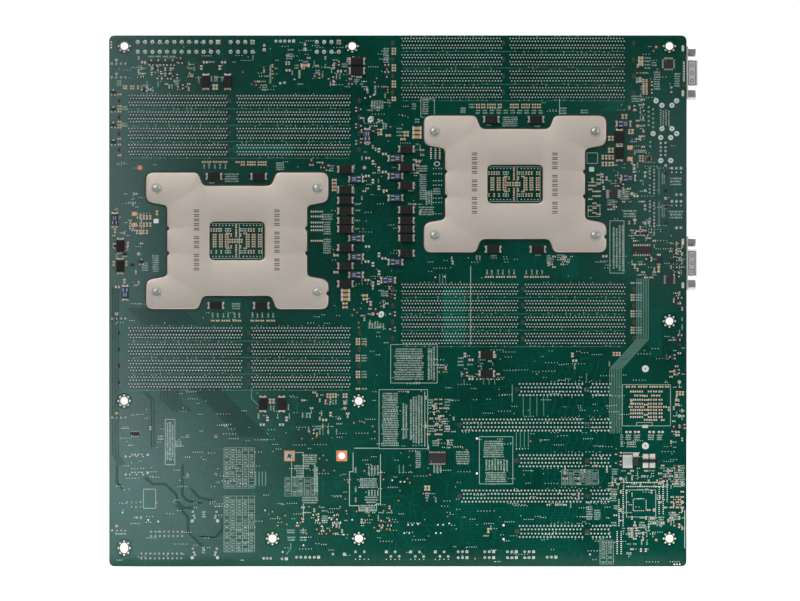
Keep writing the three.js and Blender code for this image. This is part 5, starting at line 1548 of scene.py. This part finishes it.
ball_mounted(142.7, -59.9, 24, 24, 0.8)
ball_mounted(3.2, -68.0, 29, 29, 0.6)
finned(3.2, -68.0, 26, 26, 14.5, 10)
ball_mounted(-112.6, -88.7, 15, 20, 0.7)
finned(-112.6, -88.7, 14.4, 24, 11.5, 6)
ball_mounted(9.3, -36.2, 20, 16, 0.85)
ball_mounted(127.0, 66.0, 11, 11, 0.85)
legged(126.8, 48.0, 11, 11, 1.7, 16, 16, 0.6)
legged(139.0, -117.0, 14, 14, 2.0, 20, 20, 0.62)
legged(-58.0, -72.0, 14, 14, 2.0, 20, 20, 0.62)
legged(-20.0, -100.0, 10, 7.5, 2.2, 8, 0, 1.1)
legged(20.5, -100.0, 7.5, 12, 2.0, 0, 14, 0.8)
legged(146.0, -138.0, 10, 6, 1.9, 8, 0, 1.2)

# Headers and connectors that stand on the component side above their joints.
PIN = brick(0.62, 0.62, 0, 8.2, 0.2)


def header(xs, zs, shroud=None):
    """A block of pins on a plastic base; shroud is the wall height of a boxed header."""
    x, z = (min(xs) + max(xs)) / 2, (min(zs) + max(zs)) / 2
    width, depth = max(xs) - min(xs) + 2.5, max(zs) - min(zs) + 2.5
    if shroud:
        width, depth = width + 5.4, depth + 3.6
        top_black.add(tray(width, depth, 1.1, shroud, 1.6, 0.4), [(x, z)])
    else:
        top_black.add(brick(width, depth, 0, 2.4, 0.25, 0.3), [(x, z)])
    top_pins.add(PIN, [(a, b) for a in xs for b in zs])
    taken(x, z, width / 2, depth / 2)


header([-141.7 + 2.55 * i for i in range(8)], (-132.4, -134.9), 8.6)
header([-147.2 + 2.55 * i for i in range(10)], (-145.0, -147.6), 8.6)
header([-70 + 2.54 * i for i in range(5)], (149.1,))
header([-58.2 + 2.55 * i for i in range(6)], (-147.1,))
for first in (34.6, 49.9, 62.9, 72.8):
    header((first, first + 2.54, first + 5.08), (-143.9, -147.3))
header((85.7, 88.2, 90.7), (-147.0,))
for first in (7.4, 21.5, -24.3, -6.6):
    header([first + 2.5 * i for i in range(4)], (-146.0,))
    top_beige.add(brick(7.0, 1.2, 0.5, 9.6, 0.25), [(first + 3.75, -143.4)])
for z in (-123.2, -144.3):
    top_black.add(tray(17.6, 7.4, 1.3, 8.4, 1.5, 0.4), [(-110.7, z)])
    top_black.add(brick(11.4, 1.3, 1.0, 7.4, 0.15), [(-110.7, z - 0.6)])
    top_pins.add(brick(0.7, 0.15, 1.0, 6.6), [(-115.2 + 1.27 * i, z + 0.12) for i in range(8)])
    taken(-110.7, z, 9, 4)
power_pin = turned([(0.75, SUNK), (0.75, 9.5), (0.45, 10.2)], 10)
for first, count in ((-149.3, 12), (-96, 4), (-46.5, 4)):
    top_pins.add(power_pin, [(first + 4.2 * i, z) for i in range(count) for z in (148.4, 143.1)])

# Solid-state drive connector, its standoff, and the coin cell in its holder.
top_black.add(brick(6.4, 21.9, 0, 4.2, 0.25, 0.5), [(52.6, -88.9)])
top_black.add(brick(2.6, 21.9, 0, 1.5, 0.15), [(48.4, -88.9)])
top_black.add(brick(2.6, 21.9, 3.0, 4.2, 0.15), [(48.4, -88.9)])
drive_contacts = [(48.4, -98.2 + 0.5 * i) for i in range(38) if i not in range(8, 12)]
top_pins.add(brick(2.2, 0.25, 1.45, 1.75), drive_contacts)
top_steel.add(washer(1.75, 2.9, 0.0, 4.4, 6), [DRIVE_SCREW])
taken(51.0, -88.9, 5, 12)
taken(*DRIVE_SCREW, 4, 4)
taken(*DRIVE_HOLE, 4, 4)
CELL = (-45.0, -112.0)
top_black.add(turned([(11.6, 0), (11.6, 3.2), (11.2, 3.5), (10.2, 3.5), (10.2, 1.6)], 32), [CELL])
top_steel.add(turned([(9.9, 1.55), (9.9, 3.9), (9.5, 4.3), (8.9, 4.4), (8.8, 4.35)], 32), [CELL])
top_steel.add(brick(3.6, 5.0, 4.2, 4.8, 0.2), [(CELL[0], CELL[1] + 8.6)])
top_black.add(brick(5.0, 4.0, 0, 5.0, 0.3), [(CELL[0], CELL[1] + 12.4), (CELL[0], CELL[1] - 12.4)])
taken(*CELL, 12, 14)

# Small parts, vias and short tracks on what is left of the component side.
for x, z in MOUNTING_HOLES:
    taken(x, z, 5, 5)


def is_free(x, z, reach):
    return all(abs(x - cx) > half_x + reach or abs(z - cz) > half_z + reach
               for cx, cz, half_x, half_z in TAKEN)


for _ in range(TOP_PART_TRIES):
    x, z, turn = draw.uniform(-160, 160), draw.uniform(-147, 144), draw.choice((0, 90))
    kind, count = draw.random(), draw.choice((1, 1, 2, 3))
    if not is_free(x, z, 3.0):
        continue
    bodies = top_tan if kind < 0.6 else top_umber
    for i in range(count):
        spot = (x + 1.5 * i * (turn == 90), z + 1.5 * i * (turn == 0))
        bodies.add(brick(1.3, 1.0, SUNK, 0.75, 0.1), [spot], turn)
        for side in (-1, 1):
            around(top_leads, brick(0.5, 1.05, SUNK, 0.78, 0.1), [spot], turn, side * 0.85, 0)
    taken(x, z, 0.2, 0.2)
    if kind < 0.3:
        label(x + 0.5, z + 5.0 - 0.2 * count, 2.4, 0.9, 0, top_marks)
for _ in range(TOP_TRACK_TRIES):
    x, z, slope = draw.uniform(-162, 155), draw.uniform(-149, 149), draw.choice((-1, 0, 1))
    if not is_free(x, z, 0.5):
        continue
    top_leads.add(turned([(0.3, SUNK), (0.3, 0.03)], 8), [(x, z)])
    reach = draw.uniform(2, 7)
    path = on_board([(x, z), (x + reach, z), (x + reach + 2, z + 2 * slope)])
    top_tracks.add(strip(path, 0.3, 0.015))

# ---------------------------------------------------------------- camera and light

camera_data = bpy.data.cameras.new("camera")
camera = bpy.data.objects.new("camera", camera_data)
bpy.context.scene.collection.objects.link(camera)
CAMERA_X, CAMERA_DISTANCE, CAMERA_Z = 0.00123, 3.0, 0.00026
SENSOR_WIDTH = 36
FRAME_WIDTH = 0.4592
camera.location = (CAMERA_X, -CAMERA_DISTANCE, CAMERA_Z)
camera.rotation_euler = (math.pi / 2, 0, 0)
camera_data.sensor_width = SENSOR_WIDTH
camera_data.lens = SENSOR_WIDTH * CAMERA_DISTANCE / FRAME_WIDTH
camera_data.clip_end = 50
bpy.context.scene.camera = camera
bpy.context.scene.view_settings.view_transform = "Standard"


def panel(name, place, aim, width, height, radiance, colour=(1, 1, 1)):
    """A soft panel light of a given brightness, turned to face a point."""
    light = bpy.data.lights.new(name, "AREA")
    light.color = colour
    light.shape = "RECTANGLE"
    light.size, light.size_y = width, height
    light.energy = radiance * math.pi * width * height
    lamp = bpy.data.objects.new(name, light)
    bpy.context.scene.collection.objects.link(lamp)
    lamp.location = place
    facing = Vector(aim) - Vector(place)
    lamp.rotation_euler = facing.to_track_quat("-Z", "Y").to_euler()


panel("key_panel", (-1.3, -2.3, 1.9), (0, 0, 0), 1.5, 1.2, 8.0)
panel("fill_panel", (1.8, -2.0, 0.6), (0, 0, 0), 1.2, 1.4, 3.2)
panel("top_panel", (0.2, 0.6, 2.6), (0, 0.2, 0), 2.4, 2.4, 3.0)
panel("back_panel", (0.9, 2.6, 1.2), (0, 0, 0), 1.4, 1.2, 1.6)

# Three panels stand beside the camera, where the glossy mask mirrors them as a soft grey haze.
HAZE = (0.78, 0.95, 1.0)
panel("low_left_gloss", (-0.28, -CAMERA_DISTANCE, -0.245), (0, 0, -0.08), 0.2, 0.24, 8.0, HAZE)
panel("left_gloss", (-0.35, -CAMERA_DISTANCE, 0.05), (0, 0, 0), 0.1, 0.6, 11.0, HAZE)
panel("right_gloss", (0.31, -CAMERA_DISTANCE, 0.13), (0, 0, 0), 0.06, 0.2, 7.0, HAZE)

world = bpy.data.worlds.new("studio")
bpy.context.scene.world = world
world.use_nodes = True
nodes, links = world.node_tree.nodes, world.node_tree.links
nodes.clear()
output = nodes.new("ShaderNodeOutputWorld")
seen = nodes.new("ShaderNodeBackground")
seen.inputs["Color"].default_value = (1, 1, 1, 1)
seen.inputs["Strength"].default_value = 1.05
ambient = nodes.new("ShaderNodeBackground")
ambient.inputs["Color"].default_value = (1, 0.985, 0.97, 1)
ambient.inputs["Strength"].default_value = 0.1
path = nodes.new("ShaderNodeLightPath")
mix = nodes.new("ShaderNodeMixShader")
links.new(path.outputs["Is Camera Ray"], mix.inputs["Fac"])
links.new(ambient.outputs[0], mix.inputs[1])
links.new(seen.outputs[0], mix.inputs[2])
links.new(mix.outputs[0], output.inputs["Surface"])

FLOOR_HALF, FLOOR_FRONT, FLOOR_Z = 6.0, 0.12, -HALF_Z * MM - 0.0005
floor_mesh = bpy.data.meshes.new("floor")
floor_mesh.from_pydata([
    (-FLOOR_HALF, -FLOOR_FRONT, FLOOR_Z), (FLOOR_HALF, -FLOOR_FRONT, FLOOR_Z),
    (FLOOR_HALF, FLOOR_HALF, FLOOR_Z), (-FLOOR_HALF, FLOOR_HALF, FLOOR_Z)], [], [(0, 1, 2, 3)])
floor = bpy.data.objects.new("floor", floor_mesh)
bpy.context.scene.collection.objects.link(floor)
pale_floor = surface("pale_floor", (0.9, 0.9, 0.9), 0.7, vary=0.01, grain=40, cloud=2)
floor_shader = pale_floor.node_tree.nodes["Principled BSDF"]
floor_shader.inputs["Emission Color"].default_value = (1, 1, 1, 1)
floor_shader.inputs["Emission Strength"].default_value = 0.9
floor_mesh.materials.append(pale_floor)

# ---------------------------------------------------------------- finish

for piece in PIECES:
    piece.build()
